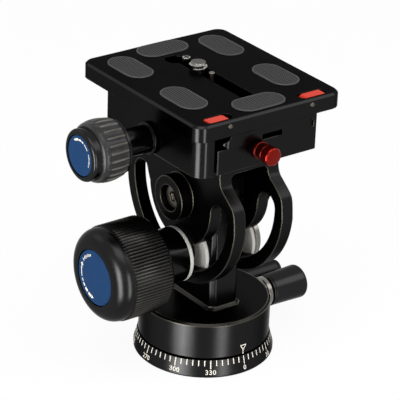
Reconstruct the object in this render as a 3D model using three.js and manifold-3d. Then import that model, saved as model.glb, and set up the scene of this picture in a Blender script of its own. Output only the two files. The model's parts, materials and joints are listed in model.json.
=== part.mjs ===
// Two-way pan tilt head for a tripod: a graduated base ring, a panning drum with a post, a tilting yoke,
// and a clamp that holds a quick-release plate. Millimetres, +Z up, the origin on the pan axis at the
// underside of the base. The front, with the release button, faces -Y, and the locking knobs face -X.
import * as THREE from "three";
import { mergeVertices } from "three/addons/utils/BufferGeometryUtils.js";
import Module from "manifold-3d";

const wasm = await Module();
wasm.setup();

// Fits that the whole head shares
const seat = 0.15; // gap between two faces that rest on each other
const clearance = 0.3; // gap round a piece that turns, slides or sits in a hole
const overrun = 2; // how far a cut runs past the face that it opens
const mergeDistance = 1e-4;

// Sides of the turned pieces, by how large they are, and steps in one rounded corner
const largeSides = 48;
const mediumSides = 32;
const smallSides = 20;
const tinySides = 12;
const hexSides = 6;
const cornerSteps = 4;

const halfTurn = 180;
const fullTurn = 360;

// The graduated ring that stands on the tripod, and what holds the spindle to it
const base = { radius: 25, topRadius: 23.7, height: 6.6, rimHeight: 2, footChamfer: 0.6, registerDepth: 0.6 };
const threadBush = { radius: 6.5, boreRadius: 4.7625, length: 9, sink: 0.3 };
const baseScrew = {
  count: 3,
  circleRadius: 10.4,
  headRadius: 2.4,
  headHeight: 2.2,
  headSink: 0.5,
  shankRadius: 1.3,
  length: 10,
  socketRadius: 1.3,
  socketDepth: 1.1,
};

// The panning drum, its bearing on the spindle, and the post that carries the tilt pivot
const drum = { radius: 23.4, topHeight: 20.5, gap: 0.6, edgeChamfer: 0.8, ringBoreRadius: 18.7 };
const spindle = { bossRadius: 13, flangeRadius: 17, flangeHeight: 4.4 };
const thrustWasher = { thickness: 0.8 };
const post = {
  halfWidth: 6,
  headHalfWidth: 7.4,
  halfDepth: 12,
  cornerChamfer: 1.6,
  footFlare: 1,
  washerRoom: 0.3,
};

// The pan lock: a shoe that presses on the spindle flange, pushed by a screw with a long knob
const panLock = {
  height: 13.6,
  shoeRadius: 2.2,
  shoeLength: 2.2,
  screwRadius: 2,
  screwEnd: 38,
  collarRadius: 5.6,
  collarEnd: 27,
  collarSeatShare: 0.965,
  knobStart: 27.5,
  knobEnd: 43,
  knobRadius: 5.8,
  knobFlare: 0.4,
  knobRound: 1.6,
};
const rearPlug = {
  offset: 12.6,
  height: 13,
  radius: 5.2,
  start: 17.9,
  end: 42.6,
  tipRadius: 3.4,
  tipLength: 2.4,
};

// The ring of the yoke about the tilt pivot: its arc slot, the rim round it, and the gap down to the drum
const slotRing = { slotRadius: 22.5, slotWidth: 9.2, rim: 4.6, drumGap: 10.3 };
const slotInner = slotRing.slotRadius - slotRing.slotWidth / 2;
const slotOuter = slotRing.slotRadius + slotRing.slotWidth / 2;
const ringRadius = slotOuter + slotRing.rim;

// The tilt pivot
const pivot = {
  height: drum.topHeight + slotRing.drumGap + ringRadius,
  shaftRadius: 4,
  shaftHalfLength: 13.5,
  bushRadius: 6,
  bushLength: 5.6,
  screwHeadRadius: 4.4,
  screwHeadHeight: 2.7,
  screwShankRadius: 2,
  screwLength: 7,
  socketRadius: 2.6,
  socketDepth: 1.7,
};

// The yoke: two cheeks with arc slots, joined by a crossbar under the clamp
const yoke = {
  halfWidth: 12.5,
  cheek: 4.8,
  neckInset: 9.4,
  shoulderRise: 11.6,
  shoulderSlope: 33.8,
  shoulderFillet: 6,
  shoulderRound: 4,
  crossbarRise: 15,
  crossbarThickness: 4.75,
  innerFillet: 2,
  bossRadius: 8.04,
  bossLength: 4.85,
  bossRecessDepth: 3.5,
  washerGap: 4.56,
};
const yokeScrew = {
  offset: 9,
  headRadius: 3.2,
  headHeight: 2,
  shankRadius: 1.9,
  length: 10.5,
  socketRadius: 1.9,
  socketDepth: 1,
};

// The tilt lock: a bolt through the post and both slots, drawn up by the large knob
const tiltLock = {
  height: pivot.height - slotRing.slotRadius,
  boltRadius: 3,
  boltEnd: 36,
  headRadius: 9.2,
  headThickness: 2.3,
  socketRadius: 2.5,
  socketDepth: 1.4,
  washerRadius: slotRing.slotRadius - yoke.bossRadius - yoke.washerGap,
  washerBore: 3.3,
  outerWasher: 2.2,
  collarLength: 10.3,
};
const tiltKnob = {
  radius: 17,
  length: 22,
  rearRound: 1.4,
  noseRound: 5.6,
  insertRadius: 5.6,
  insertLength: 10,
  boreDepth: 12.5,
  discRadius: 9.9,
  discThickness: 0.7,
  discSink: 0.1,
};

// The clamp: a body with a fixed jaw, a sliding jaw on two pins, and its screw and knob
const clamp = {
  bottom: pivot.height + yoke.crossbarRise + yoke.crossbarThickness + seat,
  floorHeight: 8.8,
  jawHeight: 13.6,
  left: 18.4,
  right: 23.2,
  halfLength: 28.4,
  jawGap: 1.1,
  jawOuter: 26,
  jawCorner: 4.5,
  lipHalfLength: 22.4,
};
const guidePin = { radius: 1.5, offset: 18, height: 4.4, jawDepth: 5.2, length: 18.4 };
const clampScrew = { radius: 2.5, height: 4.9, outerEnd: 50, innerEnd: 2 };
const stem = { radius: 4.8, flangeRadius: 5.7, flangeLength: 1.2, end: 38.85 };
const clampKnob = {
  start: 39,
  length: 15,
  radius: 11.2,
  grooves: 24,
  grooveDepth: 0.8,
  grooveShare: 0.42,
  rearRingRadius: 10,
  rearRingLength: 1.5,
  grooveLip: 0.5,
  noseLength: 3.6,
  noseRound: 2.4,
  discRadius: 7,
  discThickness: 0.6,
  discSink: 0.1,
};

// The release button in the front of the clamp, and the safety pin that it lowers
const button = {
  x: -1.15,
  height: 5.6,
  headRadius: 3.25,
  headLength: 4.9,
  travel: 1.5,
  shankRadius: 1.4,
  stopRadius: 2.3,
  stopLength: 2,
  stopInset: 5.2,
  bushFlange: 1.35,
  bushRadius: 2.4,
  bushLength: 3.4,
  boreRadius: 2.7,
  springBore: 1.5,
  springLength: 2.8,
};
const safetyPin = { x: 2.45, y: -14, radius: 1.2, foot: 3.2, top: 10.8, drop: 1.35 };

// The quick-release plate with its dovetail
const plate = {
  centreX: 2.45,
  centreY: 4.8,
  width: 60.5,
  length: 69.4,
  height: 10.55,
  flangeRise: 4.8,
  cornerRadius: 4.2,
  topChamfer: 0.8,
  dovetailHalf: 19,
  neckHalf: 16.5,
  footInset: 1.6,
  wideRise: 1.5,
  neckRise: 4,
  endInset: 0.3,
  endRadius: 2.5,
  grooveCentre: 0.8,
  grooveWidth: 8.3,
  grooveDepth: 2.2,
  pocketWidth: 12.4,
  pocketFront: -23.8,
  pocketRear: 22.2,
  pocketDepth: 6.5,
};
const slot = { width: 5.3, front: -20.8, rear: 15.7, entryX: -2.15, entryY: 18, entryRadius: 3.4 };
const pad = {
  length: 20,
  width: 10.5,
  recess: 1,
  proud: 0.3,
  sideX: 19.4,
  rearY: 20,
  frontY: -11.35,
  endRear: 28.4,
  endFront: -27,
};
const stopScrew = { x: 2.85, y: 18, headRadius: 1.5, headHeight: 0.9, shankRadius: 0.8, length: 3.2 };

// The red stops that flip up from the front corners
const tab = {
  inner: 15.15,
  length: 9,
  pivotRadius: 2,
  roundEnd: 300,
  thickness: 2.2,
  width: 3.8,
  frontInset: 2.1,
  recessLength: 10.8,
  recessDepth: 4.55,
  pinRadius: 0.8,
  pinLength: 7.4,
};

// The camera screw and the slider that carries it below the slot
const slider = { width: 10.7, front: -4.8, rear: 13.2, thickness: 1.5 };
const cameraScrew = {
  y: 7.2,
  threadRadius: 3.175,
  neckRadius: 2.3,
  headRadius: 5,
  headHeight: 2.9,
  proud: 2.6,
  lead: 0.6,
  slotWidth: 1.2,
  slotDepth: 1.2,
};
const twistPin = { y: -0.7, radius: 0.7, headRadius: 1.05, headHeight: 0.6, proud: 1.35 };

// Finishes as plain colours
const finishes = {
  blackAnodised: new THREE.MeshStandardMaterial({ color: 0x141416, roughness: 0.38, metalness: 0.85 }),
  blackGloss: new THREE.MeshStandardMaterial({ color: 0x0c0c0e, roughness: 0.2, metalness: 0.6 }),
  blackKnob: new THREE.MeshStandardMaterial({ color: 0x18181a, roughness: 0.5, metalness: 0.4 }),
  steel: new THREE.MeshStandardMaterial({ color: 0xb9bbbd, roughness: 0.3, metalness: 1 }),
  brass: new THREE.MeshStandardMaterial({ color: 0xb99a4a, roughness: 0.35, metalness: 1 }),
  nylon: new THREE.MeshStandardMaterial({ color: 0xe9e9e4, roughness: 0.5, metalness: 0 }),
  rubber: new THREE.MeshStandardMaterial({ color: 0x4a4c4e, roughness: 0.85, metalness: 0 }),
  blueDisc: new THREE.MeshStandardMaterial({ color: 0x2a5285, roughness: 0.4, metalness: 0.1 }),
  redAnodised: new THREE.MeshStandardMaterial({ color: 0xb3151c, roughness: 0.3, metalness: 0.7 }),
  redPaint: new THREE.MeshStandardMaterial({ color: 0xe2231a, roughness: 0.45, metalness: 0 }),
};

const alongX = new THREE.Vector3(1, 0, 0);
const againstX = new THREE.Vector3(-1, 0, 0);
const alongY = new THREE.Vector3(0, 1, 0);
const againstY = new THREE.Vector3(0, -1, 0);
const alongZ = new THREE.Vector3(0, 0, 1);

// A closed geometry as a solid that can be joined and cut.
function solidFrom(geometry) {
  geometry.deleteAttribute("normal");
  geometry.deleteAttribute("uv");
  const merged = mergeVertices(geometry, mergeDistance);
  const corners = merged.index.array;
  const kept = [];
  for (let i = 0; i < corners.length; i += 3) {
    const [a, b, c] = corners.slice(i, i + 3);
    if (a !== b && b !== c && c !== a) kept.push(a, b, c);
  }
  return new wasm.Manifold(
    new wasm.Mesh({
      numProp: 3,
      vertProperties: new Float32Array(merged.attributes.position.array),
      triVerts: new Uint32Array(kept),
    }),
  );
}

// A solid as a geometry whose faces share no corners, so that each keeps its own flat normal.
function geometryFrom(solid) {
  const mesh = solid.getMesh();
  const positions = new Float32Array(mesh.numVert * 3);
  for (let i = 0; i < mesh.numVert; i += 1) {
    positions.set(mesh.vertProperties.subarray(i * mesh.numProp, i * mesh.numProp + 3), i * 3);
  }
  const geometry = new THREE.BufferGeometry();
  geometry.setAttribute("position", new THREE.BufferAttribute(positions, 3));
  geometry.setIndex(new THREE.BufferAttribute(mesh.triVerts, 1));
  const flat = geometry.toNonIndexed();
  flat.computeVertexNormals();
  return flat;
}

const join = (first, ...others) => others.reduce((sum, other) => sum.add(other), first);
const cut = (first, ...others) => others.reduce((rest, other) => rest.subtract(other), first);
const toVectors = (points) => points.map(([u, v]) => new THREE.Vector2(u, v));
const degrees = (angle) => THREE.MathUtils.degToRad(angle);

// Points on an arc, from one angle to another in degrees.
function arc(u, v, radius, from, to, steps) {
  return Array.from({ length: steps + 1 }, (_, i) => {
    const angle = degrees(from + ((to - from) * i) / steps);
    return [u + radius * Math.cos(angle), v + radius * Math.sin(angle)];
  });
}

// An outline whose corners [u, v, radius] are rounded where they have a radius.
function rounded(corners) {
  const points = [];
  corners.forEach(([u, v, radius = 0], i) => {
    if (!radius) {
      points.push([u, v]);
      return;
    }
    const here = new THREE.Vector2(u, v);
    const before = new THREE.Vector2(...corners.at(i - 1).slice(0, 2)).sub(here).normalize();
    const after = new THREE.Vector2(...corners[(i + 1) % corners.length].slice(0, 2)).sub(here).normalize();
    const half = Math.acos(THREE.MathUtils.clamp(before.dot(after), -1, 1)) / 2;
    const middle = before.clone().add(after).normalize();
    const centre = here.clone().addScaledVector(middle, radius / Math.sin(half));
    const start = here.clone().addScaledVector(before, radius / Math.tan(half)).sub(centre);
    const side = Math.sign(start.cross(here.clone().sub(centre)));
    const turn = side * (Math.PI - 2 * half);
    for (let step = 0; step <= cornerSteps; step += 1) {
      const spoke = start.clone().rotateAround(new THREE.Vector2(), (turn * step) / cornerSteps);
      spoke.add(centre);
      points.push([spoke.x, spoke.y]);
    }
  });
  return points;
}

const rectangle = (u0, u1, v0, v1, radius = 0) =>
  rounded([
    [u0, v0, radius],
    [u1, v0, radius],
    [u1, v1, radius],
    [u0, v1, radius],
  ]);

// A straight length of an outline, with holes, before it is turned to its axis.
function extruded(outline, length, holes) {
  const shape = new THREE.Shape(toVectors(outline));
  holes.forEach((hole) => shape.holes.push(new THREE.Path(toVectors(hole))));
  return new THREE.ExtrudeGeometry(shape, { depth: length, bevelEnabled: false, steps: 1 });
}

// Prisms along each axis. Their outlines lie in XY, in YZ and in XZ.
function prismZ(outline, from, to, holes = []) {
  return solidFrom(extruded(outline, to - from, holes).translate(0, 0, from));
}

function prismX(outline, from, to, holes = []) {
  const toX = new THREE.Matrix4().makeBasis(alongY, alongZ, alongX);
  return solidFrom(extruded(outline, to - from, holes).applyMatrix4(toX).translate(from, 0, 0));
}

function prismY(outline, from, to, holes = []) {
  const toY = new THREE.Matrix4().makeBasis(alongX, alongZ, againstY);
  return solidFrom(extruded(outline, to - from, holes).applyMatrix4(toY).translate(0, to, 0));
}

// A turned solid from its profile of [radius, distance along the axis]. A profile off the axis is closed.
function turned(profile, axis, sides) {
  const points = toVectors(profile);
  const ring = profile.every(([radius]) => radius > 0);
  if (THREE.ShapeUtils.area(points) < 0) points.reverse();
  if (ring) points.push(points[0].clone());
  const geometry = new THREE.LatheGeometry(points, sides);
  return solidFrom(geometry.applyQuaternion(new THREE.Quaternion().setFromUnitVectors(alongY, axis)));
}

const rod = (radius, from, to, axis, sides) =>
  turned(
    [
      [0, from],
      [radius, from],
      [radius, to],
      [0, to],
    ],
    axis,
    sides,
  );

const tube = (inner, outer, from, to, axis, sides) =>
  turned(
    [
      [inner, from],
      [outer, from],
      [outer, to],
      [inner, to],
    ],
    axis,
    sides,
  );

// Puts a solid into a group as one named mesh.
function addPiece(group, name, solid, finish, place = [0, 0, 0]) {
  const mesh = new THREE.Mesh(geometryFrom(solid), finish);
  mesh.name = name;
  mesh.position.set(...place);
  group.add(mesh);
  return mesh;
}

// A group placed in its parent.
function addGroup(parent, x, y, z) {
  const group = new THREE.Group();
  group.position.set(x, y, z);
  parent.add(group);
  return group;
}

const at = (solid, x, y, z) => solid.translate([x, y, z]);

// Heights in the bearing, from the flange on the pan lock's axis outwards
const drumBottom = base.height + drum.gap;
const flangeBottom = panLock.height - spindle.flangeHeight / 2;
const flangeTop = panLock.height + spindle.flangeHeight / 2;
const lowerWasherBottom = flangeBottom - seat - thrustWasher.thickness;
const ringTop = lowerWasherBottom - seat;
const cavityTop = flangeTop + seat + thrustWasher.thickness + seat;
const cavityRadius = spindle.flangeRadius + 2 * clearance;
const spindleBottom = base.height - base.registerDepth + seat;
const bushTop = threadBush.sink + threadBush.length;
const screwTop = baseScrew.headSink + baseScrew.length;

// Places of the base screws round the pan axis.
const screwPlaces = Array.from({ length: baseScrew.count }, (_, i) => {
  const angle = degrees((fullTurn * i) / baseScrew.count + halfTurn / 2);
  return [baseScrew.circleRadius * Math.cos(angle), baseScrew.circleRadius * Math.sin(angle)];
});

function makeBaseRing() {
  const ring = turned(
    [
      [threadBush.radius + clearance, 0],
      [base.radius - base.footChamfer, 0],
      [base.radius, base.footChamfer],
      [base.radius, base.rimHeight],
      [base.topRadius, base.height],
      [spindle.bossRadius + clearance, base.height],
      [spindle.bossRadius + clearance, base.height - base.registerDepth],
      [threadBush.radius + clearance, base.height - base.registerDepth],
    ],
    alongZ,
    largeSides,
  );
  const recessTop = baseScrew.headSink + baseScrew.headHeight + seat;
  const holes = screwPlaces.map(([x, y]) =>
    join(
      at(rod(baseScrew.headRadius + clearance, -overrun, recessTop, alongZ, smallSides), x, y, 0),
      at(rod(baseScrew.shankRadius + clearance, 0, base.height + overrun, alongZ, tinySides), x, y, 0),
    ),
  );
  return cut(ring, ...holes);
}

function makeSpindle() {
  const body = turned(
    [
      [0, bushTop + clearance],
      [threadBush.radius + clearance, bushTop + clearance],
      [threadBush.radius + clearance, spindleBottom],
      [spindle.bossRadius, spindleBottom],
      [spindle.bossRadius, flangeBottom],
      [spindle.flangeRadius, flangeBottom],
      [spindle.flangeRadius, flangeTop],
      [0, flangeTop],
    ],
    alongZ,
    largeSides,
  );
  const holes = screwPlaces.map(([x, y]) =>
    at(rod(baseScrew.shankRadius + clearance, 0, screwTop + clearance, alongZ, tinySides), x, y, 0),
  );
  return cut(body, ...holes);
}

function makeBaseScrew() {
  const { headRadius, headHeight, headSink, shankRadius, socketRadius, socketDepth } = baseScrew;
  const body = turned(
    [
      [0, headSink],
      [headRadius, headSink],
      [headRadius, headSink + headHeight],
      [shankRadius, headSink + headHeight],
      [shankRadius, screwTop],
      [0, screwTop],
    ],
    alongZ,
    tinySides,
  );
  return cut(body, rod(socketRadius, headSink - overrun, headSink + socketDepth, alongZ, hexSides));
}

function makeBase(parent) {
  const group = addGroup(parent, 0, 0, 0);
  addPiece(group, "base_ring", makeBaseRing(), finishes.blackAnodised);
  const bush = tube(threadBush.boreRadius, threadBush.radius, threadBush.sink, bushTop, alongZ, smallSides);
  addPiece(group, "tripod_thread_bush", bush, finishes.steel);
  addPiece(group, "pan_spindle", makeSpindle(), finishes.steel);
  screwPlaces.forEach(([x, y], i) => {
    addPiece(group, `base_screw_${i + 1}`, makeBaseScrew(), finishes.steel, [x, y, 0]);
  });
}

// Outline of the post seen from above, with chamfered corners.
function postSection(halfWidth, grow = 0) {
  const x = halfWidth + grow;
  const y = post.halfDepth + grow;
  const c = post.cornerChamfer;
  return [
    [x - c, -y],
    [x, c - y],
    [x, y - c],
    [x - c, y],
    [c - x, y],
    [-x, y - c],
    [-x, c - y],
    [c - x, -y],
  ];
}

// The flare at the foot of the post, as the chamfered end of a low block of its section.
function postFoot() {
  const foot = new THREE.ExtrudeGeometry(new THREE.Shape(toVectors(postSection(post.halfWidth))), {
    depth: post.footFlare,
    bevelThickness: post.footFlare,
    bevelSize: post.footFlare,
    bevelSegments: 1,
  });
  return solidFrom(foot.translate(0, 0, drum.topHeight - post.footFlare));
}

function makePanHousing() {
  const body = turned(
    [
      [0, cavityTop],
      [cavityRadius, cavityTop],
      [cavityRadius, ringTop + seat],
      [drum.ringBoreRadius, ringTop + seat],
      [drum.ringBoreRadius, drumBottom],
      [drum.radius, drumBottom],
      [drum.radius, drum.topHeight - drum.edgeChamfer],
      [drum.radius - drum.edgeChamfer, drum.topHeight],
      [0, drum.topHeight],
    ],
    alongZ,
    largeSides,
  );
  const headBottom = tiltLock.height + tiltLock.washerRadius + post.washerRoom;
  const column = prismZ(postSection(post.halfWidth), drum.topHeight - seat, headBottom + seat);
  const headOutline = [
    [-post.halfDepth, headBottom],
    [post.halfDepth, headBottom],
    ...arc(0, pivot.height, post.halfDepth, 0, halfTurn, largeSides / 2),
  ];
  const headBlock = prismX(headOutline, -post.headHalfWidth, post.headHalfWidth);
  const headPlan = prismZ(postSection(post.headHalfWidth), drum.topHeight, pivot.height + ringRadius);
  const pivotBore = rod(pivot.bushRadius + clearance, -yoke.halfWidth, yoke.halfWidth, alongX, mediumSides);
  const boltBore = rod(tiltLock.boltRadius + clearance, -yoke.halfWidth, yoke.halfWidth, alongX, smallSides);
  const shoeEnd = drum.radius + overrun;
  const shoeBore = rod(panLock.shoeRadius + clearance, spindle.bossRadius, shoeEnd, alongX, smallSides);
  return cut(
    join(body, postFoot(), column, headBlock.intersect(headPlan)),
    at(pivotBore, 0, 0, pivot.height),
    at(boltBore, 0, 0, tiltLock.height),
    at(shoeBore, 0, 0, panLock.height),
  );
}

function makePanGroup(parent) {
  const group = addGroup(parent, 0, 0, 0);
  addPiece(group, "pan_housing", makePanHousing(), finishes.blackAnodised);
  const ringInner = spindle.bossRadius + clearance;
  const ringOuter = drum.ringBoreRadius - clearance;
  const ring = tube(ringInner, ringOuter, drumBottom + seat, ringTop, alongZ, largeSides);
  addPiece(group, "pan_retaining_ring", ring, finishes.blackAnodised);
  const lower = tube(ringInner, spindle.flangeRadius, 0, thrustWasher.thickness, alongZ, mediumSides);
  addPiece(group, "thrust_washer_lower", lower, finishes.nylon, [0, 0, lowerWasherBottom]);
  const { bossRadius, flangeRadius } = spindle;
  const upper = tube(bossRadius, flangeRadius, 0, thrustWasher.thickness, alongZ, mediumSides);
  addPiece(group, "thrust_washer_upper", upper, finishes.nylon, [0, 0, flangeTop + seat]);
  [-1, 1].forEach((side) => {
    const bush = tube(
      pivot.shaftRadius + clearance,
      pivot.bushRadius,
      post.headHalfWidth - pivot.bushLength,
      post.headHalfWidth,
      side < 0 ? againstX : alongX,
      smallSides,
    );
    const name = side < 0 ? "pivot_bush_left" : "pivot_bush_right";
    addPiece(group, name, bush, finishes.brass, [0, 0, pivot.height]);
  });
  return group;
}

function makePanLock(parent) {
  const group = addGroup(parent, 0, 0, panLock.height);
  const shoeStart = spindle.flangeRadius + clearance;
  const shoeEnd = shoeStart + panLock.shoeLength;
  const shoe = rod(panLock.shoeRadius, shoeStart, shoeEnd, alongX, smallSides);
  addPiece(group, "pan_brake_shoe", shoe, finishes.brass);
  const screw = rod(panLock.screwRadius, shoeEnd + seat, panLock.screwEnd, alongX, smallSides);
  addPiece(group, "pan_lock_screw", screw, finishes.steel);
  const collarStart = drum.radius * panLock.collarSeatShare;
  const bore = panLock.shoeRadius + clearance;
  const collar = tube(bore, panLock.collarRadius, collarStart, panLock.collarEnd, alongX, smallSides);
  const drumSide = rod(drum.radius + seat, -panLock.height, base.radius, alongZ, largeSides);
  addPiece(group, "pan_lock_collar", cut(collar, drumSide), finishes.steel);
  const { knobStart, knobEnd, knobRadius, knobFlare, knobRound } = panLock;
  const tipRadius = knobRadius + knobFlare;
  const knob = turned(
    [
      [0, panLock.screwEnd + clearance],
      [panLock.screwRadius + clearance, panLock.screwEnd + clearance],
      [panLock.screwRadius + clearance, knobStart],
      [knobRadius - knobFlare, knobStart],
      [knobRadius, knobStart + knobFlare],
      ...arc(tipRadius - knobRound, knobEnd - knobRound, knobRound, 0, 90, cornerSteps),
      [0, knobEnd],
    ],
    alongX,
    smallSides,
  );
  addPiece(group, "pan_lock_knob", knob, finishes.blackKnob);
}

function makeRearPlug(parent) {
  const { radius, end, tipRadius, tipLength, start } = rearPlug;
  const body = turned(
    [
      [0, start],
      [radius, start],
      [radius, end - tipLength],
      [tipRadius, end - tipLength],
      [tipRadius, end],
      [0, end],
    ],
    alongX,
    smallSides,
  );
  const drumRod = rod(drum.radius + seat, -rearPlug.height, base.radius, alongZ, largeSides);
  const drumSide = at(drumRod, 0, -rearPlug.offset, 0);
  const place = [0, rearPlug.offset, rearPlug.height];
  addPiece(parent, "rear_plug", cut(body, drumSide), finishes.blackKnob, place);
}

// Outline of a cheek seen from the side, with the pivot at its centre.
function cheekOutline(top) {
  const slope = degrees(yoke.shoulderSlope);
  const neckHalf = ringRadius - yoke.neckInset;
  const shoulder = new THREE.Vector2(-neckHalf, yoke.shoulderRise);
  const down = new THREE.Vector2(-Math.cos(slope), -Math.sin(slope));
  const along = shoulder.dot(down);
  const reach = Math.sqrt(along ** 2 - shoulder.lengthSq() + ringRadius ** 2) - along;
  const corner = shoulder.clone().addScaledVector(down, reach);
  const cornerAngle = THREE.MathUtils.radToDeg(corner.angle());
  const ringStep = fullTurn / largeSides;
  const ringFrom = cornerAngle + 2 * ringStep;
  const ringTo = fullTurn + halfTurn - ringFrom;
  const ringSteps = Math.round((ringTo - ringFrom) / ringStep);
  return rounded([
    [-neckHalf, top],
    [shoulder.x, shoulder.y, yoke.shoulderFillet],
    [corner.x, corner.y, yoke.shoulderRound],
    ...arc(0, 0, ringRadius, ringFrom, ringTo, ringSteps),
    [-corner.x, corner.y, yoke.shoulderRound],
    [-shoulder.x, shoulder.y, yoke.shoulderFillet],
    [neckHalf, top],
  ]);
}

// The arc slot below the pivot, which lets the yoke tilt a quarter turn either way.
function slotOutline() {
  const middle = slotRing.slotRadius;
  const end = slotRing.slotWidth / 2;
  return [
    ...arc(0, 0, slotOuter, halfTurn, fullTurn, largeSides / 2).slice(0, -1),
    ...arc(middle, 0, end, 0, halfTurn, 2 * cornerSteps).slice(0, -1),
    ...arc(0, 0, slotInner, fullTurn, halfTurn, largeSides / 2).slice(0, -1),
    ...arc(-middle, 0, end, 0, halfTurn, 2 * cornerSteps).slice(0, -1),
  ];
}

function makeYoke(top) {
  const { halfWidth, cheek, crossbarRise, innerFillet, bossRadius, bossLength } = yoke;
  const inner = halfWidth - cheek;
  const channel = rounded([
    [-inner, -ringRadius - overrun],
    [inner, -ringRadius - overrun],
    [inner, crossbarRise, innerFillet],
    [-inner, crossbarRise, innerFillet],
  ]);
  const boreLength = halfWidth + bossLength + overrun;
  const sides = [againstX, alongX];
  const bosses = sides.map((side) =>
    rod(bossRadius, halfWidth - seat, halfWidth + bossLength, side, mediumSides),
  );
  const recessFrom = halfWidth + bossLength - yoke.bossRecessDepth;
  const recessRadius = pivot.screwHeadRadius + clearance;
  const recesses = sides.map((side) => rod(recessRadius, recessFrom, boreLength, side, smallSides));
  const shaftBore = rod(pivot.shaftRadius + clearance, -recessFrom, recessFrom, alongX, smallSides);
  const blank = prismX(cheekOutline(top), -halfWidth, halfWidth, [slotOutline()]);
  const hollow = prismY(channel, -ringRadius - overrun, ringRadius + overrun);
  const headRoom = crossbarRise + yokeScrew.headHeight + seat;
  const screwHoles = [-yokeScrew.offset, yokeScrew.offset].flatMap((y) => [
    at(rod(yokeScrew.shankRadius + clearance, 0, top + overrun, alongZ, tinySides), 0, y, 0),
    at(rod(yokeScrew.headRadius + clearance, 0, headRoom, alongZ, smallSides), 0, y, 0),
  ]);
  const slotted = cut(blank, hollow, ...screwHoles);
  return cut(join(slotted, ...bosses), shaftBore, ...recesses);
}

// A screw with a hexagon socket, its head's outer face at zero and its shank along the axis.
function socketScrew(screw, axis, sides) {
  const { headRadius, headHeight, shankRadius, length, socketRadius, socketDepth } = screw;
  const body = turned(
    [
      [0, 0],
      [headRadius, 0],
      [headRadius, headHeight],
      [shankRadius, headHeight],
      [shankRadius, length],
      [0, length],
    ],
    axis,
    sides,
  );
  return cut(body, rod(socketRadius, -overrun, socketDepth, axis, hexSides));
}

function makeTiltGroup(parent) {
  const group = addGroup(parent, 0, 0, pivot.height);
  const top = clamp.bottom - pivot.height - seat;
  addPiece(group, "tilt_yoke", makeYoke(top), finishes.blackAnodised);
  const screwFace = yoke.halfWidth + yoke.bossLength - yoke.bossRecessDepth + seat + pivot.screwHeadHeight;
  const half = pivot.shaftHalfLength;
  const tapped = pivot.screwLength - pivot.screwHeadHeight + clearance;
  const tapping = [againstX, alongX].map((side) =>
    rod(pivot.screwShankRadius + clearance, half - tapped, half + overrun, side, tinySides),
  );
  const shaft = cut(rod(pivot.shaftRadius, -half, half, alongX, smallSides), ...tapping);
  addPiece(group, "pivot_shaft", shaft, finishes.steel);
  const pivotScrew = {
    headRadius: pivot.screwHeadRadius,
    headHeight: pivot.screwHeadHeight,
    shankRadius: pivot.screwShankRadius,
    length: pivot.screwLength,
    socketRadius: pivot.socketRadius,
    socketDepth: pivot.socketDepth,
  };
  [-1, 1].forEach((side) => {
    const name = side < 0 ? "pivot_screw_left" : "pivot_screw_right";
    const screw = socketScrew(pivotScrew, side < 0 ? alongX : againstX, smallSides);
    addPiece(group, name, screw, finishes.steel, [side * screwFace, 0, 0]);
  });
  [-yokeScrew.offset, yokeScrew.offset].forEach((y, i) => {
    const screw = socketScrew(yokeScrew, alongZ, tinySides);
    addPiece(group, `yoke_screw_${i + 1}`, screw, finishes.steel, [0, y, yoke.crossbarRise]);
  });
  return group;
}

function makeTiltLock(parent) {
  const group = addGroup(parent, 0, 0, tiltLock.height);
  const { boltRadius, headRadius, headThickness, washerRadius, washerBore, outerWasher } = tiltLock;
  const washerStart = yoke.halfWidth + seat;
  const washerEnd = washerStart + outerWasher;
  const headInner = washerEnd + seat;
  const bolt = turned(
    [
      [0, -tiltLock.boltEnd],
      [boltRadius, -tiltLock.boltEnd],
      [boltRadius, headInner],
      [headRadius, headInner],
      [headRadius, headInner + headThickness],
      [0, headInner + headThickness],
    ],
    alongX,
    mediumSides,
  );
  const headFace = headInner + headThickness;
  const { socketRadius, socketDepth } = tiltLock;
  const socket = rod(socketRadius, headFace - socketDepth, headFace + overrun, alongX, hexSides);
  addPiece(group, "tilt_lock_bolt", cut(bolt, socket), finishes.steel);
  const innerFrom = post.halfWidth + seat;
  const innerTo = yoke.halfWidth - yoke.cheek - seat;
  const washers = [
    ["lock_washer_inner_left", innerFrom, innerTo, againstX],
    ["lock_washer_inner_right", innerFrom, innerTo, alongX],
    ["lock_washer_outer_left", washerStart, washerEnd, againstX],
    ["lock_washer_outer_right", washerStart, washerEnd, alongX],
  ];
  washers.forEach(([name, from, to, axis]) => {
    addPiece(group, name, tube(washerBore, washerRadius, from, to, axis, mediumSides), finishes.nylon);
  });
  const collarEnd = headInner + tiltLock.collarLength;
  const collar = tube(washerBore, tiltLock.washerRadius, headInner, collarEnd, againstX, mediumSides);
  addPiece(group, "tilt_lock_collar", collar, finishes.blackGloss);
  makeTiltKnob(group, collarEnd + seat);
}

function makeTiltKnob(parent, start) {
  const { radius, length, rearRound, noseRound, insertRadius, insertLength, boreDepth } = tiltKnob;
  const discBore = tiltKnob.discRadius + clearance;
  const discFloor = length - tiltKnob.discSink - tiltKnob.discThickness - seat;
  const profile = [
    [0, boreDepth],
    [insertRadius + clearance, boreDepth],
    [insertRadius + clearance, 0],
    ...arc(radius - rearRound, rearRound, rearRound, 270, 360, cornerSteps / 2),
    ...arc(radius - noseRound, length - noseRound, noseRound, 0, 90, cornerSteps + 1),
    [discBore, length],
    [discBore, discFloor],
    [0, discFloor],
  ];
  const place = [-start, 0, 0];
  addPiece(parent, "tilt_lock_knob", turned(profile, againstX, largeSides), finishes.blackKnob, place);
  const insert = cut(
    rod(insertRadius, seat, insertLength, againstX, hexSides),
    rod(tiltLock.washerBore, -overrun, insertLength + overrun, againstX, smallSides),
  );
  addPiece(parent, "tilt_knob_insert", insert, finishes.brass, place);
  const discBack = discFloor + seat;
  const disc = rod(tiltKnob.discRadius, discBack, discBack + tiltKnob.discThickness, againstX, mediumSides);
  addPiece(parent, "tilt_knob_disc", disc, finishes.blueDisc, place);
}

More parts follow.
